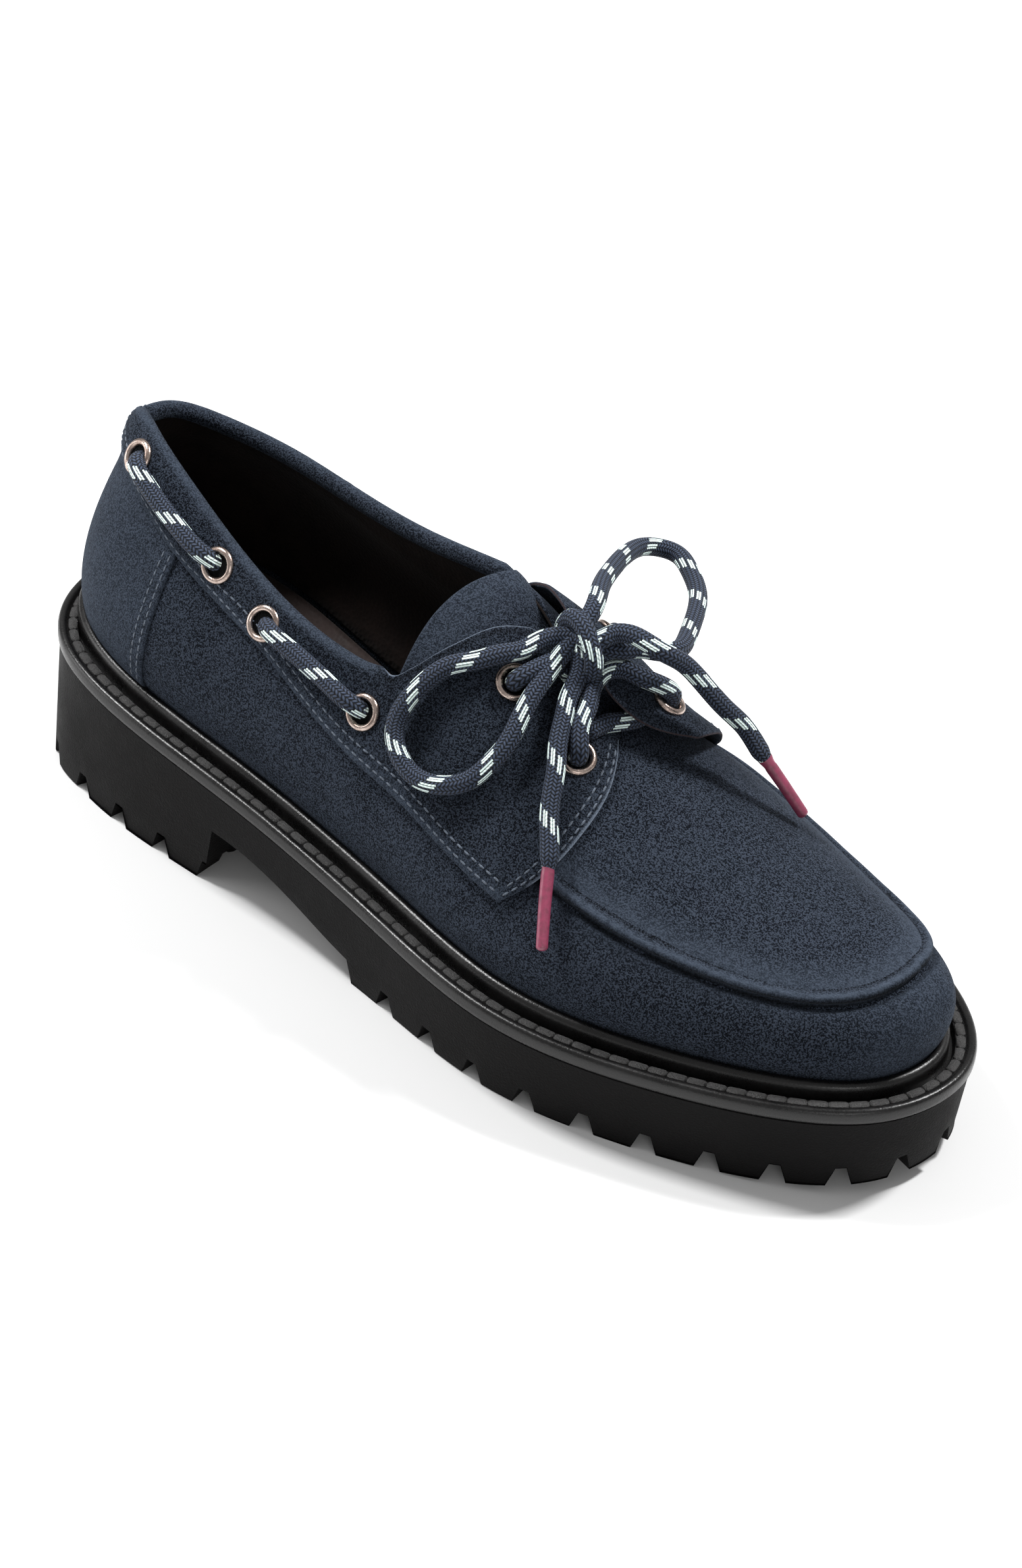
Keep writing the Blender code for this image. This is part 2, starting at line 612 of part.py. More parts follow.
def upper(finish):
    """One wall from the welt to the collar and throat, round the whole foot."""
    count, rows = RING, 9
    half = count // 2
    outer_t = np.linspace(0, 1, half + 1)
    late = np.clip((outer_t - 0.3) / 0.7, 0, 1)
    inner_t = np.where(outer_t < 0.3, outer_t, 0.3 + (THROAT_END - 0.3) * (1 - (1 - late) ** 2.69))
    wide = smooth(outer_t, 0.35, 0.6)
    w = np.linspace(0, 1, rows)[None, :]
    halves = []
    for side in (-1, 1):
        edge = opening_u(inner_t, side)[:, None]
        t_a = outer_t[:, None] + (inner_t - outer_t)[:, None] * w
        u_a = edge * w
        share = (1 - np.cos(edge * w * math.pi / 2)) / (1 - np.cos(edge * math.pi / 2))
        x_o, x_i = -np.cos(math.pi * outer_t)[:, None], -np.cos(math.pi * inner_t)[:, None]
        y_o = np.sqrt(np.maximum(1 - x_o**2, 0))
        y_i = np.cos(edge * math.pi / 2) * np.sqrt(1 - x_i**2)
        x, y = x_o + (x_i - x_o) * share, y_o + (y_i - y_o) * share
        t_b = np.arccos(np.clip(-x, -1, 1)) / math.pi
        q = np.clip(y / np.sqrt(np.maximum(1 - x**2, 1e-12)), 0, 1)
        u_b = np.arccos(q) * 2 / math.pi
        u_b[:, 0] = 0
        blend = wide[:, None]
        halves.append(last(t_a * (1 - blend) + t_b * blend, u_a * (1 - blend) + u_b * blend, side))
    grid = np.concatenate([halves[0], halves[1][-2:0:-1]])
    skirt = grid[:, :1].copy()
    skirt[:, :, 2] -= RIB_HEIGHT + 0.7
    grid = np.concatenate([skirt, grid], 1)
    obj = make("upper", grid, sheet_faces(count, rows + 1, closed=True), finish)
    wall = obj.modifiers.new("wall", "SOLIDIFY")
    wall.thickness = UPPER_WALL * MM
    wall.offset = -1
    wall.use_even_offset = False
    return obj


def lift(t, u, side):
    """How far the inner tab stands off the vamp."""
    if side < 0:
        return np.zeros(np.broadcast(t, u).shape)
    return TAB_LIFT * smooth(u, 0.42, 0.86) * smooth(t, 0.465, 0.55) * (1 - 0.2 * smooth(t, 0.56, 0.6))


def band(name, side, finish):
    """Collar band from the heel's back seam to the front edge of the lacing tab."""
    lead, rows = 17, 7
    k = np.linspace(0, 1, 11)[1:]
    back_t = COLLAR_END * np.linspace(0, 1, lead)
    low_t = np.concatenate([back_t, COLLAR_END + (0.59 - COLLAR_END) * k])
    low_u = band_edge(low_t, side)
    high_t = np.concatenate([back_t, np.interp(k, TAB_TOP["k"], TAB_TOP["t"])])
    high_u = np.concatenate([collar_u(back_t, side) + 0.006, np.interp(k, TAB_TOP["k"], TAB_TOP["u"])])
    high_u = np.minimum(high_u, TAB_REACH[side])
    tab = np.concatenate([np.zeros(lead), k])[:, None]
    w = np.linspace(0, 1, rows)[None, :]
    bow = TAB_BOW * tab**1.5 * (1 - np.abs(2 * w - 1) ** 2.4)
    t = low_t[:, None] + (high_t - low_t)[:, None] * w + bow
    u = low_u[:, None] + (high_u - low_u)[:, None] * w
    off = BAND_GAP + lift(t, u, side)
    outside, inside = skin(t, u, side, off + BAND_THICK), skin(t, u, side, off)
    for wall in (outside, inside):
        wall[0, :, 1] = spline(SECTIONS, "ridge", 0.0) + side * GAP / 2
    if side > 0:
        outside, inside = outside[::-1], inside[::-1]
    return plate(name, outside, inside, finish)


def tongue(finish):
    """Curved leather leaf under the tabs, from inside the vamp up past the throat."""
    across = np.linspace(-1, 1, 13)
    along = np.linspace(0, 1, 8)
    low = 0.590 - 0.012 * across**2
    high = 0.487 - 0.030 * np.abs(across) ** 2.2
    t = low[:, None] + (high - low)[:, None] * along[None, :]
    edge_u = 0.56
    u = np.broadcast_to((1 - (1 - edge_u) * np.abs(across))[:, None], t.shape)
    side = np.where(across < 0, -1, 1)[:, None] * np.ones_like(t)
    flare = smooth(0.512 - t, 0.0, 0.028)
    off = -(UPPER_WALL + TONGUE_DROP) + 5.0 * flare * (1 - smooth(np.abs(across)[:, None], 0.1, 0.8))
    outside, inside = skin(t, u, side, off), skin(t, u, side, off - TONGUE_THICK)
    middle = len(across) // 2
    for wall in (outside, inside):
        wall[middle] = (wall[middle - 1] + wall[middle + 1]) / 2 + (0, 0, 0.12)
    return plate("tongue", outside, inside, finish)


# ---------------------------------------------------------------- eyelets and lace


def frame_at(t, u, side):
    """Place and outward direction on the tab's or band's outer face."""
    t, u = np.array([t]), np.array([u])
    off = BAND_GAP + BAND_THICK + lift(t, u, side)
    e = 0.006
    pick = lambda a, b: skin(a, b, side, BAND_GAP + BAND_THICK + lift(a, b, side))[0]
    normal = np.cross(pick(t + e, u) - pick(t - e, u), pick(t, u + e) - pick(t, u - e)) * -side
    return skin(t, u, side, off)[0], normal / np.linalg.norm(normal)


def turned_to(normal):
    z = normal
    x = np.cross((0.0, 0.0, 1.0), z)
    x /= np.linalg.norm(x)
    return np.stack([x, np.cross(z, x), z], 1)


def eyelet(name, t, u, side, finish):
    """A rolled metal ring with a hole for the lace."""
    place, normal = frame_at(t, u, side)
    inner, outer = EYELET_RADII
    seat, steps = 0.65, 12
    profile = ((inner, seat), (outer, seat), (outer - 0.7, seat + 1.1), (inner + 0.4, seat + 1.1))
    turn = turned_to(normal)
    points = []
    for k in range(steps):
        angle = 2 * math.pi * k / steps
        points += [turn @ np.array((r * math.cos(angle), r * math.sin(angle), z)) for r, z in profile]
    n = len(profile)
    faces = []
    for k in range(steps):
        m = (k + 1) % steps
        for i in range(n):
            j = (i + 1) % n
            faces.append((k * n + i, m * n + i, m * n + j, k * n + j))
    obj = make(name, np.array(points), faces, finish)
    obj.location = (place + SHIFT) * MM
    return obj


def resting(points, side, grow):
    """Route points that lie on the shoe, from (t, u) and a height over the band."""
    return [tuple(skin(np.array([t]), np.array([u]), side, np.array([grow + lift(t, u, side)]))[0])
            for t, u in points]


def lace_sides(finish):
    """The runs outside the collar, from eyelet to eyelet."""
    over = BAND_GAP + BAND_THICK + LACE_R + 0.35
    for side, word in ((-1, "outer"), (1, "inner")):
        eyelets = eyelet_places(side)
        for k, part in ((0, "back"), (2, "front")):
            (t0, u0), (t1, u1) = eyelets[k], eyelets[k + 1]
            share = np.array((0.24, 0.37, 0.5, 0.63, 0.76))
            spots = zip(t0 + (t1 - t0) * share, u0 + (u1 - u0) * share)
            tube(f"lace_{word}_{part}", resting(spots, side, over), LACE_R, finish)


def knot(finish):
    mesh = bpy.data.meshes.new("lace_knot")
    work = bmesh.new()
    bmesh.ops.create_uvsphere(work, u_segments=14, v_segments=9, radius=1.0)
    bmesh.ops.scale(work, vec=[r * MM for r in KNOT_RADII], verts=work.verts)
    work.to_mesh(mesh)
    work.free()
    mesh.shade_smooth()
    mesh.materials.append(finish)
    obj = bpy.data.objects.new("lace_knot", mesh)
    obj.location = [(c + d) * MM for c, d in zip(KNOT, SHIFT)]
    bpy.context.scene.collection.objects.link(obj)


def lace_strands(finish):
    """The lace across the throat: out of the front eyelets to under the knot, and the bar below the tabs."""
    ends = []
    for side in (-1, 1):
        t, u = eyelet_places(side)[5]
        place, normal = frame_at(t, u, side)
        ends.append(tuple(place + normal * 5.3))
    tube("lace_crossing", (ends[0],) + CROSSING + (ends[1],), LACE_R, finish)
    bar = ((0.585, 0.965, -1), (0.587, 1.0, -1), (0.590, 0.92, 1), (0.594, 0.84, 1))
    tube("lace_bar", [tuple(skin(np.array([t]), np.array([u]), side, np.array([LACE_R + 0.8]))[0])
                      for t, u, side in bar], LACE_R, finish)


def bow(finish, tip):
    knot(finish)
    tube("lace_loop_outer", LOOP_OUTER, LACE_R, finish, clear=KNOT_CLEAR)
    tube("lace_loop_inner", LOOP_INNER, LACE_R, finish, clear=KNOT_CLEAR)
    tube("lace_end_outer", END_OUTER, LACE_R, finish, clear=KNOT_CLEAR)
    tube("lace_end_inner", END_INNER, LACE_R, finish, clear=KNOT_CLEAR)
    tube("aglet_outer", AGLET_OUTER, AGLET_R, tip, 4)
    tube("aglet_inner", AGLET_INNER, AGLET_R, tip, 4)


def main():
    for obj in list(bpy.data.objects):
        bpy.data.objects.remove(obj)
    rubber = material("sole_rubber", (0.012, 0.012, 0.014), 0.62)
    edge = material("welt_rubber", (0.010, 0.010, 0.012), 0.3)
    suede = material("suede", (0.022, 0.034, 0.055), 0.95)
    suede_light = material("suede_band", (0.026, 0.040, 0.064), 0.95)
    lining = material("lining_leather", (0.035, 0.018, 0.012), 0.7)
    metal = material("eyelet_metal", (0.72, 0.60, 0.52), 0.25, 1.0)
    aglet = material("aglet_plastic", (0.36, 0.05, 0.10), 0.35)
    rope = material("lace_rope", (0.03, 0.045, 0.08), 0.85)
    outsole(rubber)
    welt(edge)
    insole(lining)
    upper(suede)
    tongue(suede)
    band("collar_band_outer", -1, suede_light)
    band("collar_band_inner", 1, suede_light)
    for side, word in ((-1, "outer"), (1, "inner")):
        for k, (t, u) in enumerate(eyelet_places(side)):
            eyelet(f"eyelet_{word}_{k + 1}", t, u, side, metal)
    lace_sides(rope)
    lace_strands(rope)
    bow(rope, aglet)


main()
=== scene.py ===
# Lace-up moccasin loafer on a lugged rubber sole, right shoe: what is seen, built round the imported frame.
# Tables and lengths are in millimetres, +X to the toe, +Y to the inner side; placed() makes metres of them.
# Side is -1 for the shoe's outer side and 1 for its inner side.
import math

import bmesh
import bpy
import numpy as np
from mathutils import Matrix, Vector


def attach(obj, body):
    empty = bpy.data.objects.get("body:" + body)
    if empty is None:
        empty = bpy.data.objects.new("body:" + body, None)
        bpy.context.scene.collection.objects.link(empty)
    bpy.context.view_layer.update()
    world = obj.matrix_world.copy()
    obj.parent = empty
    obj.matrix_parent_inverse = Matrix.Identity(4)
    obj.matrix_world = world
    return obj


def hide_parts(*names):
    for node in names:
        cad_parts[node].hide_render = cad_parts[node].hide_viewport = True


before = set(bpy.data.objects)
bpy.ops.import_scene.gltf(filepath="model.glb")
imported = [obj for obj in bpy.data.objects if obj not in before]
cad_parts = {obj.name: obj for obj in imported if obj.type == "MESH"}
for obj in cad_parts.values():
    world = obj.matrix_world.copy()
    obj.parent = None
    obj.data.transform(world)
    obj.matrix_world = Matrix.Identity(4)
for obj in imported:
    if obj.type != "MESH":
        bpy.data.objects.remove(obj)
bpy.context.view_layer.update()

# The camera and the lamps are in metres of the frame, the roll in degrees.
view = {"place": (0.41843, -0.59523, 0.59214), "target": (0.00417, -0.00218, 0.045), "roll": 5.806,
        "lens": 88.2, "near": 0.01}


def makeCamera():
    # looks from its place to the target, rolled about that line by a few degrees
    place, target = Vector(view["place"]), Vector(view["target"])
    forward = (target - place).normalized()
    level = forward.cross(Vector((0, 0, 1))).normalized()
    upright = level.cross(forward)
    roll = math.radians(view["roll"])
    right = level * math.cos(roll) + upright * math.sin(roll)
    up = right.cross(forward)
    lens = bpy.data.cameras.new("camera")
    lens.lens = view["lens"]
    lens.clip_start = view["near"]
    camera = bpy.data.objects.new("camera", lens)
    camera.matrix_world = Matrix((right, up, -forward)).transposed().to_4x4()
    camera.location = place
    bpy.context.scene.collection.objects.link(camera)
    bpy.context.scene.camera = camera


lamps = {  # place, aim, size and power of each soft light
    "topLeft": ((-0.50, -0.10, 0.85), (0.0, 0.0, 0.05), 0.18, 9.8),
    "topRight": ((0.32, 0.50, 0.92), (0.0, 0.0, 0.05), 0.14, 12.5),
    "left": ((-0.95, -0.55, 0.35), (0.0, 0.0, 0.05), 0.6, 3.6),
    "right": ((0.75, -0.65, 0.40), (0.03, 0.0, 0.04), 0.4, 1.3),
}
studio = {"colour": (1.0, 1.0, 1.0, 1), "strength": 0.4}


def makeLights():
    # soft square lamps, each turned to face its aim, and an even white world round them
    for name, (place, aim, size, power) in lamps.items():
        lamp = bpy.data.lights.new(name, "AREA")
        lamp.shape = "SQUARE"
        lamp.size = size
        lamp.energy = power
        obj = bpy.data.objects.new(name, lamp)
        obj.location = place
        obj.rotation_euler = (Vector(aim) - Vector(place)).to_track_quat("-Z", "Y").to_euler()
        bpy.context.scene.collection.objects.link(obj)
    world = bpy.data.worlds.new("studio")
    world.use_nodes = True
    world.node_tree.nodes["Background"].inputs["Color"].default_value = studio["colour"]
    world.node_tree.nodes["Background"].inputs["Strength"].default_value = studio["strength"]
    bpy.context.scene.world = world
    bpy.context.scene.view_settings.view_transform = "Standard"


class Value:
    # A socket that takes part in sums: every operator adds its Math node.
    def __init__(self, finish, socket):
        self.finish, self.socket = finish, socket


def mathMethod(operation, swapped=False):
    # a method that adds one Math node; swapped puts the Value last, for the reflected signs
    def method(self, *others):
        terms = [*others, self] if swapped else [self, *others]
        return self.finish.add("ShaderNodeMath", {"operation": operation}, terms)
    return method


signs = {"add": "ADD", "sub": "SUBTRACT", "mul": "MULTIPLY", "truediv": "DIVIDE"}
functions = {"floor": "FLOOR", "fract": "FRACT", "sine": "SINE", "below": "LESS_THAN", "least": "MINIMUM"}
for word, operation in signs.items():
    setattr(Value, f"__{word}__", mathMethod(operation))
    setattr(Value, f"__r{word}__", mathMethod(operation, True))
for word, operation in functions.items():
    setattr(Value, word, mathMethod(operation))


class Finish:
    # A material's node tree: its Principled shader, and what feeds it.
    def __init__(self, name, colour, roughness, metallic=0.0, **fixed):
        self.material = bpy.data.materials.new(name)
        self.material.use_nodes = True
        self.tree = self.material.node_tree
        self.shader = self.tree.nodes["Principled BSDF"]
        self.set("Base Color", (*colour, 1))
        self.set("Roughness", roughness)
        self.set("Metallic", metallic)
        for key, value in fixed.items():
            self.set(key.replace("_", " "), value)

    def set(self, socket, value):
        if isinstance(value, Value):
            self.tree.links.new(value.socket, self.shader.inputs[socket])
        else:
            self.shader.inputs[socket].default_value = value

    def add(self, kind, settings, inputs=(), output=0):
        node = self.tree.nodes.new(kind)
        for key, value in settings.items():
            setattr(node, key, value)
        for key, value in (inputs.items() if isinstance(inputs, dict) else enumerate(inputs)):
            if isinstance(value, Value):
                self.tree.links.new(value.socket, node.inputs[key])
            else:
                node.inputs[key].default_value = value
        return Value(self, node.outputs[output])

    def places(self):
        return self.add("ShaderNodeTexCoord", {}, output="Object")

    def attribute(self, name):
        return self.add("ShaderNodeAttribute", {"attribute_name": name}, output="Fac")

    def noise(self, places, size, detail=2.0, rough=0.5):
        inputs = {"Vector": places, "Scale": 1 / size, "Detail": detail, "Roughness": rough}
        return self.add("ShaderNodeTexNoise", {}, inputs)

    def ramp(self, value, low, high, start=0.0, end=1.0):
        settings = {"interpolation_type": "SMOOTHSTEP"}
        return self.add("ShaderNodeMapRange", settings, [value, low, high, start, end])

    def mix(self, factor, a, b):
        factorInput, firstColour, secondColour, colourOutput = 0, 6, 7, 2
        inputs = {factorInput: factor}
        for key, colour in ((firstColour, a), (secondColour, b)):
            inputs[key] = colour if isinstance(colour, Value) else (*colour, 1)
        return self.add("ShaderNodeMix", {"data_type": "RGBA"}, inputs, colourOutput)

    def bump(self, height, depth, strength=1.0):
        inputs = {"Strength": strength, "Distance": depth, "Height": height}
        self.set("Normal", self.add("ShaderNodeBump", {}, inputs))


# Colours are linear, sizes and depths of a pattern are in metres.
# Of these colours the pale blue-white one is a painted highlight for cut edges that catch the light, and the
# black one is painted shade.
nap = {"specks": 0.00044, "fine": 0.00027, "grain": 0.0017, "patches": 0.016, "depth": 0.0005,
       "dark": (0.0020, 0.0028, 0.0046), "bare": (0.050, 0.027, 0.021), "edgeHighlight": (0.165, 0.200, 0.255),
       "black": (0.001, 0.001, 0.001)}
# each suede's own colour, and a paler one that stands for wear in some places and is a painted highlight in
# others
suedeColours = {"suede": ((0.0325, 0.0410, 0.0580), (0.052, 0.066, 0.091)),
                "suede_band": ((0.0295, 0.0375, 0.0530), (0.048, 0.062, 0.086))}


def suedeFinish(key):
    # Nap: fine specks on soft patches. The piece's attributes say where it is paler, from wear in some places
    # and as a painted highlight on crests and folds in others, where it is cut through to the brown core
    # (raw), where a painted highlight runs along its cut edges, and where it is painted black as shade in
    # holes and beside seams.
    light, paleAndHighlight = suedeColours[key]
    finish = Finish(key.replace("_", " "), light, 0.95, Sheen_Weight=0.06, Sheen_Roughness=0.4,
                    Sheen_Tint=(0.62, 0.74, 0.92, 1), Specular_IOR_Level=0.06)
    places = finish.places()
    specks = finish.noise(places, nap["specks"], 2.0, 0.6)
    fine = finish.noise(places, nap["fine"], 1.0, 0.5)
    grain = finish.noise(places, nap["grain"], 3.0, 0.6)
    patches = finish.noise(places, nap["patches"], 3.0, 0.55)
    fibres = finish.ramp(specks * 0.62 + fine * 0.32 + grain * 0.06, 0.435, 0.578)
    tone = finish.ramp(fibres * 0.9 + patches * 0.42, 0.12, 1.14)
    # paler where the piece says so: wear in some places, a painted highlight on crests and folds in others
    lightened = finish.attribute("paleAndHighlight") * finish.ramp(grain, 0.3, 0.65, 0.55, 1.0)
    # painted highlight along cut edges, broken up by the specks
    edgeHighlight = finish.attribute("edgeHighlight") * finish.ramp(specks, 0.3, 0.6, 0.6, 1.0)
    colour = finish.mix(tone, nap["dark"], light)
    colour = finish.mix(lightened.least(1.0), colour, paleAndHighlight)
    colour = finish.mix(finish.attribute("raw"), colour, nap["bare"])
    colour = finish.mix(edgeHighlight, colour, nap["edgeHighlight"])
    # painted shade: black in the eyelets' holes, beside the apron's seam and under the outer tab's top edge
    finish.set("Base Color", finish.mix(finish.attribute("hole"), colour, nap["black"]))
    finish.set("Roughness", finish.ramp(fibres, 0.0, 1.0, 0.98, 0.86))
    finish.bump(specks * 0.7 + grain * 0.6, nap["depth"])
    return finish.material


leather = {"pores": 0.0011, "clouds": 0.011, "depth": 0.0003}


def liningFinish(name, colour, light):
    # smooth leather: small pores under cloudy light patches
    finish = Finish(name, colour, 0.75, Sheen_Weight=0.03, Specular_IOR_Level=0.15)
    places = finish.places()
    cells = {"Vector": places, "Scale": 1 / leather["pores"]}
    pores = finish.add("ShaderNodeTexVoronoi", {}, cells, "Distance")
    clouds = finish.noise(places, leather["clouds"], 4.0, 0.6)
    finish.set("Base Color", finish.mix(finish.ramp(clouds + pores * 0.2, 0.3, 0.85), colour, light))
    finish.set("Roughness", finish.ramp(clouds, 0.3, 0.7, 0.62, 0.85))
    finish.bump(pores * 0.6 + clouds * 0.4, leather["depth"], 0.6)
    return finish.material


rubber = {"grain": 0.00055, "bloom": 0.009, "smear": 0.03, "spread": 0.07}


def rubberFinish(name, colour, dust, roughness, grainDepth, shine):
    # moulded rubber: fine grain, faint dusty bloom, roughness that wanders
    finish = Finish(name, colour, roughness, Specular_IOR_Level=shine)
    places = finish.places()
    grain = finish.noise(places, rubber["grain"], 3.0, 0.65)
    bloom = finish.noise(places, rubber["bloom"], 4.0, 0.6)
    smear = finish.noise(places, rubber["smear"], 2.0, 0.5)
    low, high = roughness - rubber["spread"], roughness + rubber["spread"]
    dusty = finish.ramp(bloom * 0.55 + smear * 0.3 + grain * 0.4, 0.45, 0.85)
    finish.set("Base Color", finish.mix(dusty, colour, dust))
    finish.set("Roughness", finish.ramp(bloom * 0.6 + grain * 0.4, 0.3, 0.7, low, high))
    finish.bump(grain + bloom * 0.5, grainDepth, 0.8)
    return finish.material


metal = {"tarnish": 0.0022, "scratches": 0.0004, "depth": 0.00006, "colour": (0.54, 0.44, 0.39),
         "shade": (0.26, 0.19, 0.16)}


def metalFinish(name):
    # aged coppery metal: tarnished patches, and fine scratches that break the shine
    finish = Finish(name, metal["colour"], 0.24, 1.0)
    places = finish.places()
    tarnish = finish.noise(places, metal["tarnish"], 4.0, 0.65)
    scratches = finish.noise(places, metal["scratches"], 2.0, 0.7)
    finish.set("Base Color", finish.mix(finish.ramp(tarnish, 0.35, 0.72), metal["colour"], metal["shade"]))
    finish.set("Roughness", finish.ramp(tarnish * 0.6 + scratches * 0.4, 0.3, 0.7, 0.16, 0.36))
    finish.bump(scratches + tarnish * 0.5, metal["depth"], 0.5)
    return finish.material


# dark is painted shade in the braid's grooves; gap is the painted shade between pale threads, as a share of
# their colour
braid = {"columns": 14.0, "rib": 0.9, "slant": 0.75, "lead": 14.4, "bundles": 8.0, "threads": 3.0,
         "dash": 0.27, "step": 0.08, "pair": 0.68, "dark": (0.0016, 0.0023, 0.0042),
         "light": (0.047, 0.063, 0.101), "tracer": (0.80, 0.95, 0.92), "gap": 0.12, "fibres": 0.00025,
         "depth": 0.00030}
uvPerMillimetre = 0.01  # a tube's UV: its turn from 0 to 1, then its length


def ropeFinish(name):
    # Braided sheath: narrow columns run along the lace, each a stack of short ribs whose slant turns about
    # from column to column. Pale threads come up in one bundle after another, so that a stair of dashes
    # winds round the lace: a point is pale where the turns along + the bundle's share of a turn + the
    # thread's small step, less their whole part, is under the dash's share, on two threads in three.
    finish = Finish(name, braid["light"], 0.72, Sheen_Weight=0.04, Sheen_Roughness=0.4,
                    Specular_IOR_Level=0.2)
    uv = finish.add("ShaderNodeUVMap", {"uv_map": "UVMap"})
    around = finish.add("ShaderNodeSeparateXYZ", {}, [uv])
    along = Value(finish, around.socket.node.outputs["Y"]) * (1 / uvPerMillimetre / braid["lead"])
    column = around * braid["columns"]
    across = column.fract()
    turned = (column.floor() * 0.5).fract() * 4.0 - 1.0  # -1 and 1 by turns
    rib = (along * (braid["lead"] / braid["rib"]) + across * turned * braid["slant"] + 1.0).fract()
    relief = (across * math.pi).sine() * 0.38 + (rib * math.pi).sine() * 0.62
    thread = around * (braid["bundles"] * braid["threads"])
    bundle = (around * braid["bundles"]).floor() / braid["bundles"]
    step = (thread.floor() / braid["threads"]).fract() * braid["step"]
    paired = (thread / braid["threads"]).fract().below(braid["pair"])
    tracer = (along + bundle + step).fract().below(braid["dash"]) * paired
    fibres = finish.noise(finish.places(), braid["fibres"], 2.0, 0.7)
    # painted shade: light on the crowns of columns and ribs, dark down in the grooves between them
    shadedCloth = finish.mix(finish.ramp(relief * 0.9 + fibres * 0.3, 0.54, 1.04), braid["dark"], braid["light"])
    # painted shade between the pale threads
    between = finish.ramp((thread.fract() * math.pi).sine() + fibres * 0.2, 0.42, 0.82)
    shadedTracer = finish.mix(between, tuple(c * braid["gap"] for c in braid["tracer"]), braid["tracer"])
    finish.set("Base Color", finish.mix(tracer, shadedCloth, shadedTracer))
    finish.bump(relief + tracer * 0.3 + fibres * 0.15, braid["depth"])
    return finish.material


threadFibres = 0.0004


def threadFinish(name, dark, light, roughness, depth):
    # waxed thread: light and dark fibres
    finish = Finish(name, light, roughness, Sheen_Weight=0.2)
    fibres = finish.noise(finish.places(), threadFibres, 3.0, 0.7)
    finish.set("Base Color", finish.mix(finish.ramp(fibres, 0.35, 0.65), dark, light))
    finish.bump(fibres, depth, 0.8)
    return finish.material


agletPlastic = {"streaks": 0.0016, "depth": 0.00015, "colour": (0.25, 0.040, 0.085),
                "shade": (0.15, 0.026, 0.052)}


def agletFinish(name):
    # wine-red plastic under a thin clear coat, with darker streaks
    finish = Finish(name, agletPlastic["colour"], 0.34, Coat_Weight=0.25, Coat_Roughness=0.2)
    streaks = finish.noise(finish.places(), agletPlastic["streaks"], 3.0, 0.6)
    shaded = finish.mix(finish.ramp(streaks, 0.3, 0.75), agletPlastic["colour"], agletPlastic["shade"])
    finish.set("Base Color", shaded)
    finish.set("Roughness", finish.ramp(streaks, 0.3, 0.7, 0.28, 0.48))
    finish.bump(streaks, agletPlastic["depth"], 0.4)
    return finish.material


# Each finish: its maker, its material's name, and what its maker is given.
looks = {
    "lining_leather": (liningFinish, "lining leather",
                       {"colour": (0.0028, 0.0018, 0.0015), "light": (0.0095, 0.0050, 0.0038)}),
    "footbed": (liningFinish, "footbed leather",
                {"colour": (0.021, 0.0145, 0.0135), "light": (0.034, 0.024, 0.022)}),
    "sole_rubber": (rubberFinish, "sole rubber",
                    {"colour": (0.0020, 0.0018, 0.0019), "dust": (0.0056, 0.0052, 0.0053),
                     "roughness": 0.6, "grainDepth": 0.00026, "shine": 0.09}),
    "welt_rubber": (rubberFinish, "welt rubber",
                    {"colour": (0.0030, 0.0028, 0.0029), "dust": (0.0070, 0.0065, 0.0065),
                     "roughness": 0.3, "grainDepth": 0.00008, "shine": 0.4}),
    "eyelet_metal": (metalFinish, "eyelet metal", {}),
    "aglet_plastic": (agletFinish, "aglet", {}),
    "lace_rope": (ropeFinish, "lace rope", {}),
    "seam thread": (threadFinish, "seam thread",
                    {"dark": (0.024, 0.034, 0.052), "light": (0.085, 0.112, 0.152), "roughness": 0.7,
                     "depth": 0.0002}),
    "welt thread": (threadFinish, "welt thread",
                    {"dark": (0.0030, 0.0028, 0.0028), "light": (0.015, 0.0137, 0.013), "roughness": 0.4,
                     "depth": 0.0004}),
}
finishes = {}


def makeFinishes():
    # every finish's material, under the finish's name
    for key in suedeColours:
        finishes[key] = suedeFinish(key)
    for key, (maker, name, given) in looks.items():
        finishes[key] = maker(name, **given)


def table(names, *rows):
    # columns by name, out of rows
    return dict(zip(names.split(), zip(*rows)))


# Driving sizes, and the tables of the last: t runs from 0 at the heel to 1 at the toe.
shoe = {
    "shift": (-4.5, -0.4, 0.0), "soleLength": 272.0, "featherInset": 9.0, "weltDepth": 4.0,
    "ribHeight": 2.5, "heelBreast": (-55.5, -44.0), "swellOver": 38.0, "heelLean": 14.2, "leanEnd": 0.34,
    "leanHeight": 50.0, "heelFlat": 5.5, "heelBlunt": 9.0, "flatFrom": -100.0, "collarEnd": 0.473,
    "throatEnd": 0.56, "toeSpring": 4.5, "springFrom": 78.0, "innerDrop": 0.06}
weltOutline = table("t outer inner", (0.0, -2.2, 2.2), (0.1, 13.8, 24.2), (0.2, 29.8, 36.7),
                    (0.3, 37.3, 39.2), (0.4, 39.3, 33.7), (0.5, 44.3, 35.7), (0.6, 50.3, 49.7),
                    (0.7, 43.0, 48.2), (0.8, 31.5, 36.2), (0.9, 17.0, 20.6), (1.0, -3.0, 3.0))
weltHeights = table("x z", (-136.0, 42.0), (-82.0, 37.0), (-41.0, 32.0), (0.0, 27.0), (41.0, 24.5),
                    (82.0, 24.0), (136.0, 27.5))
undersides = table("x z", (-136.0, 17.0), (-60.0, 17.0), (-46.0, 16.2), (-27.0, 11.9), (-8.0, 6.4),
                   (10.0, 5.2), (136.0, 5.2))
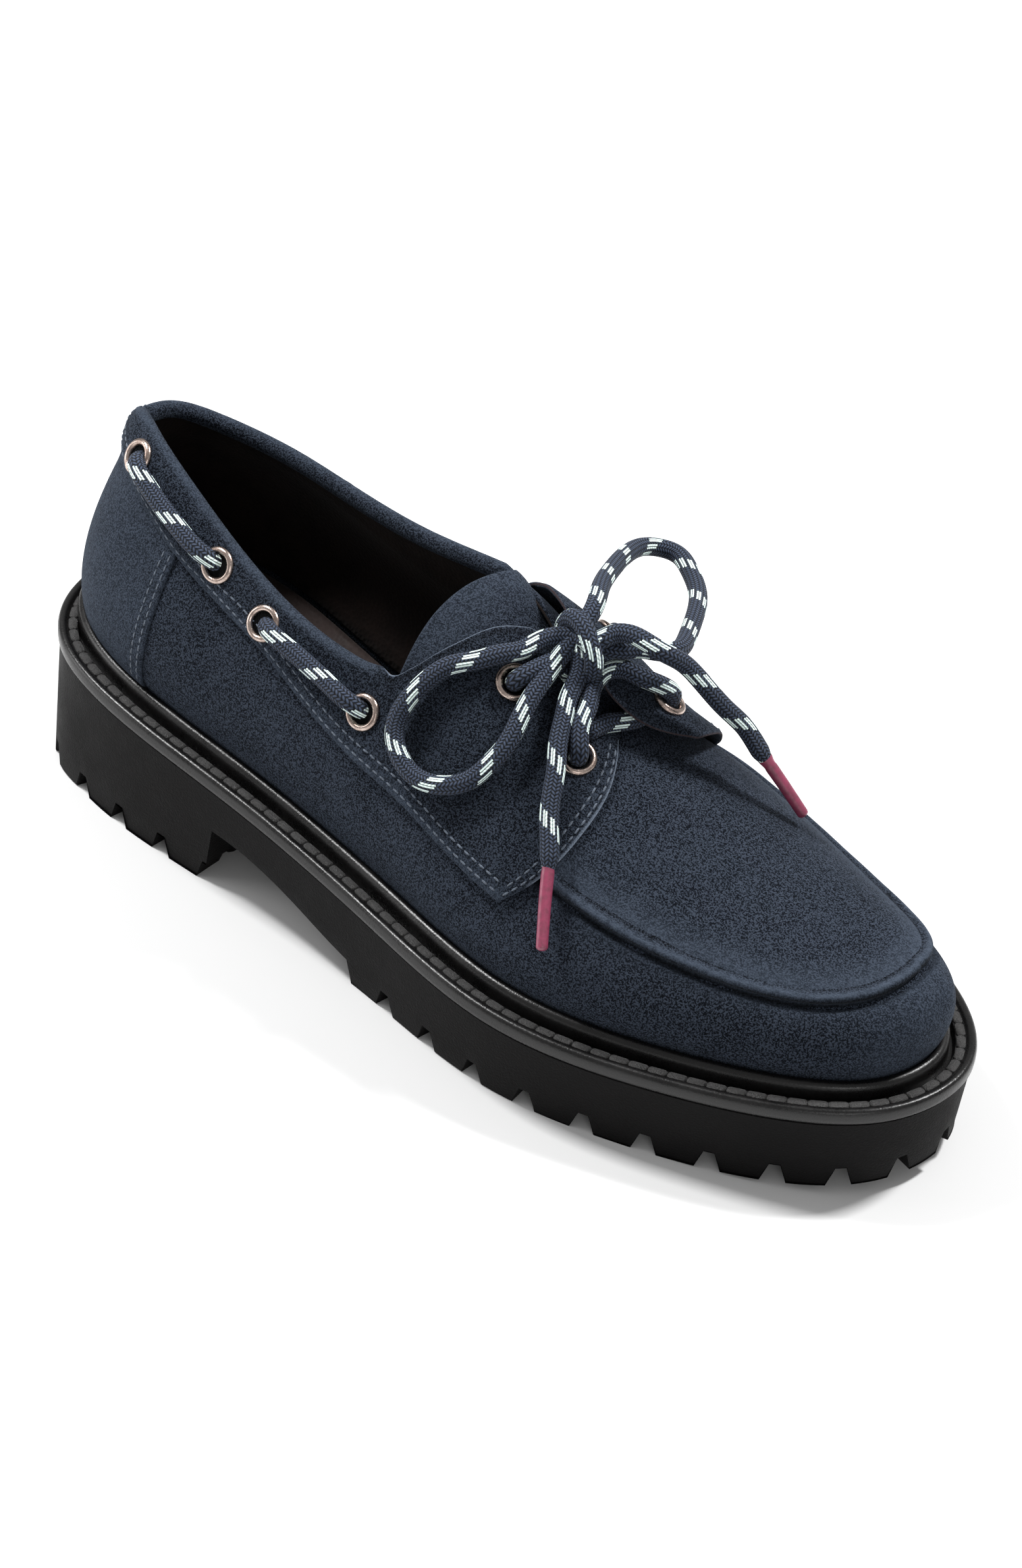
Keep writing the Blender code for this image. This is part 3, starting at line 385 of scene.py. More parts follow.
sections = table("t ridge rise fullOuter fullInner swellOuter swellInner",
                 (0.0, 2.2, 58.0, 2.0, 2.0, 2.0, 2.0), (0.06, 2.5, 58.0, 2.0, 2.0, 1.9, 1.9),
                 (0.12, 1.7, 58.5, 2.1, 2.0, 1.6, 1.6), (0.2, 0.7, 59.5, 2.1, 2.1, 2.5, 2.5),
                 (0.3, 0.7, 58.5, 2.1, 2.6, 3.0, 3.5), (0.4, 2.2, 60.0, 2.1, 3.0, 3.0, 4.5),
                 (0.47, 2.7, 63.5, 1.9, 2.7, 3.0, 4.5), (0.5, 3.2, 62.5, 1.9, 2.4, 3.0, 4.0),
                 (0.55, 3.7, 52.0, 1.9, 2.0, 3.0, 3.5), (0.6, 4.2, 42.5, 2.0, 2.0, 3.0, 3.0),
                 (0.65, 4.8, 35.5, 2.1, 2.0, 3.0, 1.5), (0.7, 5.2, 30.5, 2.2, 2.0, 3.0, 0.5),
                 (0.8, 5.4, 24.0, 2.3, 2.1, 3.0, 1.2), (0.9, 5.2, 18.0, 2.5, 2.45, 2.8, 2.8),
                 (0.95, 4.4, 12.5, 2.6, 2.6, 3.2, 3.2), (1.0, 3.0, 0.0, 2.6, 2.6, 3.2, 3.2))
collar = table("t outer inner", (0.0, 92.5, 92.5), (0.06, 94.5, 91.2), (0.12, 96.8, 88.6),
               (0.2, 96.0, 85.2), (0.3, 88.0, 82.8), (0.4, 77.0, 83.8), (0.47, 75.5, 88.0),
               (0.5, 77.0, 89.5))
bandEdges = table("t u", (0.0, 0.56), (0.165, 0.52), (0.23, 0.485), (0.28, 0.435), (0.32, 0.4),
                  (0.355, 0.37), (0.388, 0.335), (0.417, 0.3), (0.453, 0.275), (0.52, 0.275),
                  (0.59, 0.29))


def spline(columns, key, at, by="t"):
    # natural cubic through a table's column: between two rows their straight mix, bent by the second
    # derivatives m at both, which are solved for all rows together
    x, y = np.array(columns[by], float), np.array(columns[key], float)
    h, slope = np.diff(x), np.diff(y) / np.diff(x)
    n = len(x)
    a, b = np.eye(n), np.zeros(n)
    inner = np.arange(1, n - 1)
    a[inner, inner - 1], a[inner, inner], a[inner, inner + 1] = h[:-1], 2 * (h[:-1] + h[1:]), h[1:]
    b[inner] = 6 * (slope[1:] - slope[:-1])
    m = np.linalg.solve(a, b)
    at = np.clip(np.asarray(at, float), x[0], x[-1])
    i = np.clip(np.searchsorted(x, at) - 1, 0, n - 2)
    p, q = (x[i + 1] - at) / h[i], (at - x[i]) / h[i]
    return p * y[i] + q * y[i + 1] + ((p**3 - p) * m[i] + (q**3 - q) * m[i + 1]) * h[i] ** 2 / 6


def smooth(value, low=0.0, high=1.0):
    # 0 below low, 1 above high, and an even S between
    s = np.clip((np.asarray(value, float) - low) / (high - low), 0, 1)
    return s * s * (3 - 2 * s)


def bell(value, width):
    # 1 at 0, falling to 1/e at the width
    return np.exp(-((value / width) ** 2))


def unit(v):
    # each vector over its length
    return v / (np.linalg.norm(v, axis=-1, keepdims=True) + 1e-12)


def evened(values, ends="edge", reach=4):
    # each row averaged with the four before it and the four after it
    padded = np.pad(values, [(reach, reach)] + [(0, 0)] * (values.ndim - 1), ends)
    return sum(padded[k:k + len(values)] for k in range(2 * reach + 1)) / (2 * reach + 1)


def weltHeight(x):
    # height of the welt's top face along the shoe
    return spline(weltHeights, "z", x, "x")


def treadHeight(x):
    # the ground side rises to the toe with the square of the way there
    springLength = shoe["soleLength"] / 2 - shoe["springFrom"]
    return shoe["toeSpring"] * np.clip((np.asarray(x) - shoe["springFrom"]) / springLength, 0, 1) ** 2


def underside(x):
    # height of the hollow between the lugs
    return spline(undersides, "z", x, "x") + treadHeight(x)


def movedIn(outline, inset):
    # a closed plan outline moved inwards along its normals
    along = unit(np.roll(outline, -1, 0) - np.roll(outline, 1, 0))
    return outline + np.stack([-along[:, 1], along[:, 0]], 1) * np.broadcast_to(inset, len(outline))[:, None]


def rim(count, blunt):
    # the welt's outer edge: x = -L/2 cos(pi t), y from the table, heel to toe on the outer side and back
    t = np.linspace(0, 1, count // 2 + 1)
    half = shoe["soleLength"] / 2
    x = -half * np.cos(np.pi * t)
    flat = x + blunt * np.clip((shoe["flatFrom"] - x) / (half + shoe["flatFrom"]), 0, 1) ** 2.5
    outer = np.stack([flat, -spline(weltOutline, "outer", t)], 1)
    inner = np.stack([flat, spline(weltOutline, "inner", t)], 1)
    return np.vstack([outer, inner[-2:0:-1]])


def widthsAt(ring, x):
    # where the outer and the inner half of a closed outline are at x
    middle = len(ring) // 2
    halves = ring[:middle + 1], np.vstack([ring[:1], ring[:middle - 1:-1]])
    return [np.interp(x, *half[np.argsort(half[:, 0])].T) for half in halves]


rimCount, lastCount = 960, 480
rimLine = rim(rimCount, shoe["heelBlunt"])
lastLine = movedIn(rim(lastCount, 0.0), shoe["featherInset"])
heelTip, toeTip = lastLine[:, 0].min(), lastLine[:, 0].max()


def sectionX(t):
    # x of a section: from the heel's tip to the toe's with -cos(pi t), so that sections crowd at both ends
    return heelTip + (toeTip - heelTip) * (1 - np.cos(np.pi * np.asarray(t, float))) / 2


def featherY(t, side):
    # y of the feather line at a section
    outer, inner = widthsAt(lastLine, sectionX(t))
    return np.where(side < 0, outer, inner)


def bySide(columns, outer, inner, t, side):
    # one column on the outer side, another on the inner side
    return np.where(side < 0, spline(columns, outer, t), spline(columns, inner, t))


def last(t, u, side):
    # Point of the last: t from heel to toe, u from the feather line (0) to the crest (1). A section is a
    # superellipse quarter on each side, swelled out over the feather line; the heel leans forward.
    t, u = np.clip(t, 0, 1), np.clip(u, 0, 1)
    side = np.broadcast_to(side, t.shape)
    angle = u * math.pi / 2
    full = bySide(sections, "fullOuter", "fullInner", t, side)
    swell = bySide(sections, "swellOuter", "swellInner", t, side)
    ridge = spline(sections, "ridge", t)
    across, up = np.cos(angle) ** (2 / full), np.sin(angle) ** (2 / full)
    x = sectionX(t)
    y = ridge + (featherY(t, side) - ridge) * across
    h = spline(sections, "rise", t) * up
    z = weltHeight(x) + shoe["ribHeight"] + h
    nose = -np.cos(math.pi * t)
    outX, outY = nose**5, side * np.sqrt(np.maximum(1 - nose**2, 0)) * np.cos(angle)
    size = np.hypot(outX, outY) + 1e-9
    out = swell * np.sin(math.pi * np.clip(h / shoe["swellOver"], 0, 1) ** 0.75)
    flat = shoe["heelFlat"] * np.clip((shoe["flatFrom"] - x) / (shoe["flatFrom"] - heelTip), 0, 1) ** 5
    leant = shoe["heelLean"] * smooth(1 - t / shoe["leanEnd"]) - flat
    lean = flat + leant * np.clip(h / shoe["leanHeight"], 0, 2) ** 1.5
    return np.stack([x + outX / size * out + lean, y + outY / size * out, z], -1)


def axesAt(t, u, side):
    # outward normal and the direction up the section, at points of the last
    t, u = np.broadcast_arrays(np.asarray(t, float), np.asarray(u, float))
    e = 0.004  # a small step of t and u, for slopes
    along = last(t + e, u, side) - last(t - e, u, side)
    up = last(t, u + e, side) - last(t, u - e, side)
    sign = np.broadcast_to(-np.asarray(side, float), t.shape)[..., None]
    return unit(np.cross(along, up) * sign), unit(up)


def skin(t, u, side, grow):
    # the last's point moved out along its normal
    t, u = np.broadcast_arrays(np.asarray(t, float), np.asarray(u, float))
    return last(t, u, side) + axesAt(t, u, side)[0] * np.asarray(grow, float)[..., None]


def collarU(t, side):
    # the u at which the last is as high as the collar
    t = np.minimum(np.asarray(t, float), shoe["collarEnd"])
    top = bySide(collar, "outer", "inner", t, side)
    full = bySide(sections, "fullOuter", "fullInner", t, side)
    h = (top - weltHeight(sectionX(t)) - shoe["ribHeight"]) / spline(sections, "rise", t)
    return np.arcsin(np.clip(h, 0, 1) ** (full / 2)) * 2 / math.pi


def openingU(t, side):
    # the opening's edge: the collar, then up to the crest at the throat's end
    over = np.clip((t - shoe["collarEnd"]) / (shoe["throatEnd"] - shoe["collarEnd"]), 0, 1)
    start = collarU(t, side)
    return start + (1 - start) * over**0.8


tab = {"front": 0.59, "bow": {-1: 0.022, 1: 0.010}, "reach": {-1: 0.985, 1: 1.05}, "lift": 6.8,
       "liftUp": (0.42, 0.86), "liftAlong": (0.482, 0.562), "settle": 0.2, "settleUp": (0.88, 1.0),
       "settleAlong": (0.56, 0.6)}
tabTop = {
    -1: table("k t u", (0.0, 0.473, 0.535), (0.12, 0.48, 0.57), (0.25, 0.487, 0.63), (0.4, 0.497, 0.72),
              (0.55, 0.507, 0.842), (0.7, 0.523, 0.968), (0.82, 0.551, 0.982), (0.92, 0.577, 0.958),
              (1.0, 0.592, 0.925)),
    1: table("k t u", (0.0, 0.473, 0.535), (0.12, 0.48, 0.57), (0.25, 0.487, 0.63), (0.4, 0.497, 0.72),
             (0.55, 0.510, 0.84), (0.68, 0.532, 0.96), (0.78, 0.560, 1.035), (0.86, 0.582, 1.035),
             (0.93, 0.604, 0.985), (1.0, 0.620, 0.880)),
}


def bandEdge(t, side):
    # the u of the collar band's lower edge: on the inner side it drops with the collar
    lower = collarU(t, 1) - collarU(t, -1) - shoe["innerDrop"] * smooth(t, 0, 0.1)
    return spline(bandEdges, "u", t) + (lower * (1 - smooth(t, 0.4, tab["front"])) if side > 0 else 0.0)


def lift(t, u, side):
    # how far the inner tab stands off the vamp: most at its upper front corner, less again at its very ends
    if side < 0:
        return np.zeros(np.broadcast(t, u).shape)
    rise = tab["lift"] * smooth(u, *tab["liftUp"]) * smooth(t, *tab["liftAlong"])
    rise = rise * (1 - tab["settle"] * smooth(t, *tab["settleAlong"]))
    return rise * (1 - tab["settle"] * smooth(u, *tab["settleUp"]))


def featherRing(inset, count=rimCount):
    # the line where the upper meets the sole, in plan, moved inwards
    t = np.linspace(0, 1, count // 2 + 1)
    outer, inner = (last(t, np.zeros_like(t), side)[:, :2] for side in (-1, 1))
    return movedIn(np.vstack([outer, inner[-2:0:-1]]), inset)


def placed(points):
    # millimetres of the tables to metres of the frame
    return (np.asarray(points, float).reshape(-1, 3) + shoe["shift"]) * 0.001


def gridFaces(rows, columns, closeRows=False, closeColumns=False):
    # quads (i,k) (i+1,k) (i+1,k+1) (i,k+1); a closed direction goes round to its first line
    i, k = np.meshgrid(np.arange(rows if closeRows else rows - 1),
                       np.arange(columns if closeColumns else columns - 1), indexing="ij")
    i, k = i.ravel(), k.ravel()
    corners = [(i, k), (i + 1, k), (i + 1, k + 1), (i, k + 1)]
    faces = np.stack([(a % rows) * columns + b % columns for a, b in corners], 1)
    return faces, corners


def sheetFaces(rows, columns):
    # a sheet's two sides in one ring of 2 x columns points to a row, with its first and last row closed
    faces, _ = gridFaces(rows, 2 * columns, closeColumns=True)
    k = np.arange(columns - 1)
    start = np.stack([k, k + 1, 2 * columns - 2 - k, 2 * columns - 1 - k], 1)
    final = start[:, ::-1] + (rows - 1) * 2 * columns
    return np.concatenate([faces, start, final])


def repeated(faces, times, points):
    # the same faces for each of several blocks of points
    return (faces[None] + (np.arange(times) * points)[:, None, None]).reshape(-1, faces.shape[1])


joins = {"near": 2e-6, "sliver": 1e-7}  # metres: points this close are merged, edges this short dissolved


def makePiece(name, points, faces, finish, replaces=(), uv=None, attributes=None, weld=False,
              sharp=None):
    # a mesh of its points and faces, with its finish, riding on the CAD's only body
    mesh = bpy.data.meshes.new(name)
    mesh.from_pydata(placed(points).tolist(), [], [list(f) for f in faces])
    if uv is not None:
        mesh.uv_layers.new(name="UVMap").data.foreach_set("uv", np.asarray(uv, np.float32).ravel())
    for key, values in (attributes or {}).items():
        layer = mesh.attributes.new(key, "FLOAT", "POINT")
        layer.data.foreach_set("value", np.asarray(values, np.float32).ravel())
    if weld:
        work = bmesh.new()
        work.from_mesh(mesh)
        bmesh.ops.remove_doubles(work, verts=work.verts, dist=joins["near"])
        bmesh.ops.dissolve_degenerate(work, edges=work.edges, dist=joins["sliver"])
        work.to_mesh(mesh)
        work.free()
    mesh.shade_smooth()
    if sharp:
        mesh.set_sharp_from_angle(angle=math.radians(sharp))
    mesh.materials.append(finishes[finish])
    obj = bpy.data.objects.new(name, mesh)
    bpy.context.scene.collection.objects.link(obj)
    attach(obj, "root")
    if replaces:
        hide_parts(*replaces)
    return obj


def slopes(grid, closeRows=False):
    # differences down the rows and across the columns of a grid
    down = (np.roll(grid, -1, 0) - np.roll(grid, 1, 0)) / 2 if closeRows else np.gradient(grid, axis=0)
    return down, np.gradient(grid, axis=1)


def facing(grid, closeRows=False):
    # a grid's normals: down its rows x across its columns
    return unit(np.cross(*slopes(grid, closeRows)))


def onGrid(grid, row, column):
    # a grid read between its lines
    i = np.clip(np.floor(row).astype(int), 0, grid.shape[0] - 2)
    k = np.clip(np.floor(column).astype(int), 0, grid.shape[1] - 2)
    p, q = (row - i)[:, None], (column - k)[:, None]
    near = grid[i, k] * (1 - p) + grid[i + 1, k] * p
    far = grid[i, k + 1] * (1 - p) + grid[i + 1, k + 1] * p
    return near * (1 - q) + far * q


def runLength(path):
    # how far along a path each of its points is
    return np.concatenate([[0], np.cumsum(np.linalg.norm(np.diff(path, axis=0), axis=1))])


def atRun(path, at, values=None):
    # a path, or other values given at its points, read at lengths from its start
    run = runLength(path)
    values = path if values is None else values
    flat = values.reshape(len(values), -1)
    return np.stack([np.interp(at, run, column) for column in flat.T], 1).reshape(len(at), *values.shape[1:])


def evenly(path, step):
    # a path at even steps, as near to the step as its length allows
    total = runLength(path)[-1]
    return atRun(path, np.linspace(0, total, max(4, int(round(total / step)) + 1)))


def curveThrough(route, step):
    # natural cubic through a route's points over its run from point to point, then even steps
    route = np.array(route, float)
    columns = {"t": runLength(route), "x": route[:, 0], "y": route[:, 1], "z": route[:, 2]}
    fine = np.linspace(0, columns["t"][-1], 60 * len(route))
    return evenly(np.stack([spline(columns, key, fine) for key in "xyz"], 1), step)


def twistFree(path):
    # Two directions square to the path. They start from the path's flattest plane, and the twist that this
    # gives is summed along the path and taken out.
    tangent = unit(np.gradient(path, axis=0))
    flattest = np.linalg.svd(path - path.mean(0))[2][-1]
    side = unit(np.cross(flattest, tangent))
    up = np.cross(tangent, side)
    rate = (np.gradient(side, axis=0) * up).sum(1)
    angle = -np.concatenate([[0], np.cumsum((rate[1:] + rate[:-1]) / 2)])[:, None]
    return side * np.cos(angle) + up * np.sin(angle), up * np.cos(angle) - side * np.sin(angle), tangent


tubeCap = {"rings": 4, "round": 0.7}


def tubeGrid(path, radius, around):
    # point = path + radius (side cos phi + up sin phi); both ends close on a pole by rings of radius
    # sin(cap), moved out by round cos(cap)
    side, up, tangent = twistFree(path)
    rings = tubeCap["rings"]
    cap = np.linspace(0, math.pi / 2, rings, endpoint=False)
    radius = np.broadcast_to(radius, len(path))
    out = np.cos(cap)[:, None] * tubeCap["round"]
    before = path[:1] - tangent[:1] * out * radius[0]
    after = path[-1:] + tangent[-1:] * out[::-1] * radius[-1]
    middle = np.vstack([before, path, after])
    wide = np.concatenate([radius[0] * np.sin(cap), radius, radius[-1] * np.sin(cap[::-1])])[:, None, None]
    side, up = (np.pad(axis, ((rings, rings), (0, 0)), "edge")[:, None] for axis in (side, up))
    phi = np.linspace(0, 2 * math.pi, around, endpoint=False)[None, :, None]
    return middle[:, None] + (side * np.cos(phi) + up * np.sin(phi)) * wide, runLength(middle)


def makeTube(name, path, radius, finish, around=28, replaces=()):
    # a round tube along a path, with a UV of (turn, length)
    grid, run = tubeGrid(path, radius, around)
    faces, corners = gridFaces(len(grid), around, closeColumns=True)
    uv = np.stack([np.stack([b / around, run[a] * uvPerMillimetre], 1) for a, b in corners], 1)
    return makePiece(name, grid, faces[:, ::-1], finish, replaces=replaces, uv=uv[:, ::-1], weld=True)


seam = {"size": (1.75, 0.5, 0.36), "sink": 0.35, "blunt": 3, "insets": (1.7, 4.0), "around": 8,
        "along": (-1, -0.94, -0.7, 0, 0.7, 0.94, 1), "look": 0.3}


def makeStitches(name, lines, finish, pitch, size=seam["size"], sink=seam["sink"], blunt=seam["blunt"]):
    # One capsule at each pitch along lines of (points, normals). Its width and height swell along it as the
    # root of 1 - |a|^blunt, and it is sunk into the surface by a share of its height.
    a = np.array(seam["along"])
    swell = np.sqrt(np.clip(1 - np.abs(a) ** blunt, 0, 1))[:, None]
    phi = np.linspace(0, 2 * math.pi, seam["around"], endpoint=False)
    blocks = []
    for path, normals in lines:
        at = np.arange(pitch / 2, runLength(path)[-1] - pitch / 2, pitch)
        forward = unit(atRun(path, at + seam["look"]) - atRun(path, at - seam["look"]))
        across = unit(np.cross(unit(atRun(path, at, normals)), forward))
        up = np.cross(forward, across)
        shape = (forward[:, None, None] * (a * size[0] / 2)[None, :, None, None]
                 + across[:, None, None] * (swell * np.cos(phi) * size[1] / 2)[None, ..., None]
                 + up[:, None, None] * (swell * (np.sin(phi) + 1 - 2 * sink) * size[2] / 2)[None, ..., None])
        blocks.append(atRun(path, at)[:, None, None] + shape)
    grid = np.concatenate(blocks)
    faces, _ = gridFaces(len(a), len(phi), closeColumns=True)
    makePiece(name, grid, repeated(faces, len(grid), len(a) * len(phi)), finish, weld=True)


edgeTurn = np.array([0.0, 0.08, 0.3, 0.62, 1.0])  # stations over a leaf's rounded edge, of its radius


def leafStations(length, columns, edge):
    # Stations across leaves of those lengths, close together at the two rounded edges, and how thick the
    # leaf is at each: a quarter circle over the edge's radius.
    thin = np.sqrt(1 - (1 - edgeTurn) ** 2)
    middle = np.linspace(0, 1, columns - 2 * len(edgeTurn) + 2)[1:-1]
    length = np.asarray(length, float)[:, None]
    first = np.broadcast_to(edgeTurn * edge, (len(length), len(edgeTurn)))
    between = edge + (length - 2 * edge) * middle
    stations = np.concatenate([first, between, length - edgeTurn[::-1] * edge], 1)
    return stations, np.concatenate([thin, np.ones(len(middle)), thin[::-1]])


def makeLeaf(name, middle, thick, thinRows, thinColumns, finish, replaces, attributes):
    # A sheet with rounded edges: its middle surface moved out and in by half its thickness.
    normal = facing(middle)
    half = thick / 2 * np.minimum(thinRows[:, None], thinColumns[None, :])[..., None]
    outside, inside = middle + normal * half, middle - normal * half
    ring = np.concatenate([outside, inside[:, ::-1]], 1)
    both = {key: np.concatenate([v, v[:, ::-1]], 1) for key, v in attributes.items()}
    faces = sheetFaces(*middle.shape[:2])
    makePiece(name, ring, faces, finish, replaces=replaces, attributes=both, weld=True)
    return outside, normal


lace = {"radius": 2.25, "step": 0.42, "metresAcross": 0.0045, "knot": (20.0, 2.2, 91.5), "tipThin": 0.42,
        "tipFrom": 0.93}
knot = lace["knot"]
loopOuter = (
    knot, (14.2, -3.2, 90.2), (12.4, -8.4, 89.0), (9.8, -12.5, 88.8), (6.4, -16.6, 87.4),
    (1.6, -20.8, 85.5), (-1.8, -25.0, 81.4), (-4.0, -28.6, 76.3), (-4.1, -31.9, 70.4),
    (-0.2, -34.5, 66.2), (5.0, -35.6, 64.1), (12.4, -34.9, 64.8), (17.7, -31.8, 67.2),
    (20.1, -27.9, 70.8), (21.4, -23.1, 75.2), (20.8, -18.2, 79.3), (20.2, -13.4, 82.8),
    (19.7, -7.6, 85.8), knot)
loopInner = (
    knot, (18.6, 9.6, 94.4), (13.7, 19.0, 93.6), (8.8, 30.3, 91.0), (4.9, 42.3, 88.0), (5.3, 51.5, 85.6),
    (9.8, 54.9, 84.4), (16.2, 52.0, 84.2), (24.5, 44.3, 84.6), (30.4, 34.6, 85.6), (35.2, 24.5, 86.6),
    (36.9, 17.6, 88.0), (34.6, 13.4, 88.9), (32.0, 10.9, 89.5), (29.3, 7.0, 90.0), knot)
endOuter = (
    knot, (24.8, -2.6, 85.1), (25.9, -7.0, 82.4), (28.0, -11.3, 79.6), (30.4, -16.0, 76.6),
    (33.6, -20.4, 73.0), (36.2, -24.9, 68.8), (39.4, -29.2, 64.5), (43.1, -33.2, 60.4),
    (44.6, -35.3, 57.5))
endInner = (
    knot, (26.6, 2.0, 93.8), (28.4, 4.7, 95.0), (31.5, 6.3, 95.7), (36.8, 7.2, 95.0), (40.4, 8.7, 93.5),
    (43.0, 11.6, 91.0), (46.4, 13.6, 87.6), (53.2, 16.7, 80.5), (57.2, 19.4, 76.0), (62.4, 20.6, 70.0),
    (64.2, 21.2, 67.9))
agletOuter = ((43.4, -33.6, 60.0), (46.6, -38.2, 53.6), (51.2, -44.2, 45.1))
agletInner = ((63.0, 20.9, 69.2), (68.1, 22.3, 63.5), (73.4, 23.7, 57.4))
crossing = ((32.2, -10.6, 77.9), (30.2, -5.2, 80.6), (27.8, -0.6, 82.8), (27.8, 3.0, 84.6),
            (30.6, 6.2, 85.6), (34.6, 7.6, 84.9))
aglets = {"endOuter": ("agletOuter", agletOuter, "aglet_outer"),
          "endInner": ("agletInner", agletInner, "aglet_inner")}
bow = {  # route, its CAD node, its real free length in metres, and what is at its far end
    "loopOuter": (loopOuter, "lace_loop_outer", 0.120, "object"),
    "loopInner": (loopInner, "lace_loop_inner", 0.133, "object"),
    "endOuter": (endOuter, "lace_end_outer", 0.057, "fitting"),
    "endInner": (endInner, "lace_end_inner", 0.062, "fitting"),
}
agletShape = {"radius": 1.55, "taper": 0.18, "lip": (0.25, 0.05), "waist": (0.10, 0.12, 0.03),
              "around": 24, "step": 0.5}


def makeAglet(name, route, node):
    # a tapering tube with a lip at the lace and a waist behind it
    path = curveThrough(route, agletShape["step"])
    share = np.linspace(0, 1, len(path))
    lip, lipWide = agletShape["lip"]
    waist, waistAt, waistWide = agletShape["waist"]
    radius = (agletShape["radius"] - agletShape["taper"] * share + lip * bell(share, lipWide)
              - waist * bell(share - waistAt, waistWide))
    return makeTube(name, path, radius, "aglet_plastic", agletShape["around"], (node,))


def makeBow():
    # two loops and two ends, each a tube along its route; an end thins towards its aglet
    made = {}
    for name, (route, node, _, _) in bow.items():
        path = curveThrough(route, lace["step"])
        tip = smooth(np.linspace(0, 1, len(path)), lace["tipFrom"], 1.0) * (name in aglets)
        radius = lace["radius"] * (1 - lace["tipThin"] * tip)
        made[name] = makeTube(name, path, radius, "lace_rope", replaces=(node,)), path
        print("lace", name, "length", round(float(runLength(path)[-1]), 1), "mm")
    for name, (_, _, length, far) in bow.items():
        piece, path = made[name]
        held = [makeAglet(*aglets[name])] if name in aglets else []


knotWrap = {"centre": (22.0, 1.8, 90.0), "outward": (0.457, -0.654, 0.603), "tilt": 0.30, "tall": 6.6,
            "deep": 5.2, "wide": -2.0, "bulge": 2.2, "bulgeFrom": 0.6, "from": -0.56, "to": 1.36,
            "steps": 240}


def makeKnot():
    # The wrap is a ring round the strands: centre + tall sin theta + deep cos theta, with a small screw along
    # its axis so that its two ends pass beside each other behind. From and to are in half turns.
    outward = unit(np.array(knotWrap["outward"]))
    sideways = unit(np.cross((0, 0, 1.0), outward))
    upward = unit(np.cross(outward, sideways) - sideways * knotWrap["tilt"])
    axis = unit(np.cross(upward, outward))
    theta = np.linspace(knotWrap["from"] * math.pi, knotWrap["to"] * math.pi, knotWrap["steps"])[:, None]
    bulge = knotWrap["bulge"] * (np.cos(theta) - knotWrap["bulgeFrom"])
    screw = knotWrap["wide"] * (theta / math.pi - 0.5) + bulge
    ring = upward * knotWrap["tall"] * np.sin(theta) + outward * knotWrap["deep"] * np.cos(theta)
    path = np.array(knotWrap["centre"]) + ring + axis * screw
    makeTube("knotWrap", path, lace["radius"], "lace_rope", replaces=("lace_knot",))


# An eyelet's place is (t, how far under the collar) on the collar and (t, u) on the tabs. Its profile is
# (radius, height over the band's face).
# inside an eyelet's hole the band is painted black as shade, fading out between the two given radii
eyelet = {"collar": ((0.188, 0.125), (0.323, 0.095), (0.372, 0.1), (0.46, 0.115)),
          "tab": {-1: ((0.532, 0.76), (0.583, 0.77)), 1: ((0.540, 0.745), (0.592, 0.85))}, "face": 2.35,
          "around": 48, "hole": (3.1, 3.9),
          "profile": ((4.4, -0.25), (4.55, 0.15), (4.45, 0.6), (4.1, 0.98), (3.6, 1.15), (3.3, 1.02),
                      (2.92, 0.62), (2.8, 0.1), (2.8, -2.4), (3.1, -2.4), (3.15, -0.3), (4.0, -0.4))}


def eyeletPlaces(side):
    # (t, u) of a side's eyelets from the heel to the front: four on the collar, two on the tab
    lower = shoe["innerDrop"] if side > 0 else 0.0
    onCollar = [(t, float(collarU(t, side)) - drop - lower) for t, drop in eyelet["collar"]]
    return onCollar + list(eyelet["tab"][side])


def facePoint(t, u, side, grow):
    # one point over the last
    return skin(np.array([t]), np.array([u]), side, np.array([grow]))[0]


def faceAt(t, u, side, over=0.0):
    # a place over the band's outer face, and the face's outward direction there
    def pick(a, b):
        return facePoint(a, b, side, eyelet["face"] + float(lift(a, b, side)))
    e = 0.006  # a small step of t and u, for slopes
    normal = unit(np.cross(pick(t + e, u) - pick(t - e, u), pick(t, u + e) - pick(t, u - e)) * -side)
    return pick(t, u) + normal * over, normal


def overFace(place, side, heights):
    # points over one place of the face
    return [faceAt(*place, side, height)[0] for height in heights]


def makeEyelet(name, t, u, side, node):
    # a rolled ring: its profile turned about the face's normal
    place, normal = faceAt(t, u, side)
    r, z = (v[None, :, None] for v in np.array(eyelet["profile"]).T)
    x = unit(np.cross((0.0, 0.0, 1.0), normal))
    y = np.cross(normal, x)
    phi = np.linspace(0, 2 * math.pi, eyelet["around"], endpoint=False)[:, None, None]
    grid = place + (x * np.cos(phi) + y * np.sin(phi)) * r + normal * z
    faces, _ = gridFaces(*grid.shape[:2], True, True)
    makePiece(name, grid, faces, "eyelet_metal", replaces=(node,))


collarRun = {"near": (0.3, 0.9, 2.6, 5.5), "flat": (0.32, 0.68),
             "heights": (-2.0, -0.6, 1.3, 2.45, 2.4, 2.35), "sag": {-1: 0.0, 1: 0.036}}


def restingRun(side, first):
    # Out of one eyelet, over the band and into the next: the heights over the band's face rise close to the
    # eyelets and stay even between them, and the run hangs a little between its ends on the inner side.
    (t0, u0), (t1, u1) = eyeletPlaces(side)[first:first + 2]
    length = np.linalg.norm(faceAt(t0, u0, side)[0] - faceAt(t1, u1, side)[0])
    near = np.array(collarRun["near"]) / length
    share = np.concatenate([near, np.linspace(*collarRun["flat"], 4), 1 - near[::-1]])
    heights = collarRun["heights"] + collarRun["heights"][::-1]
    t = t0 + (t1 - t0) * share
    u = u0 + (u1 - u0) * share - collarRun["sag"][side] * (4 * share * (1 - share)) ** 0.6
    return [faceAt(*place, side, height)[0] for *place, height in zip(t, u, heights)]


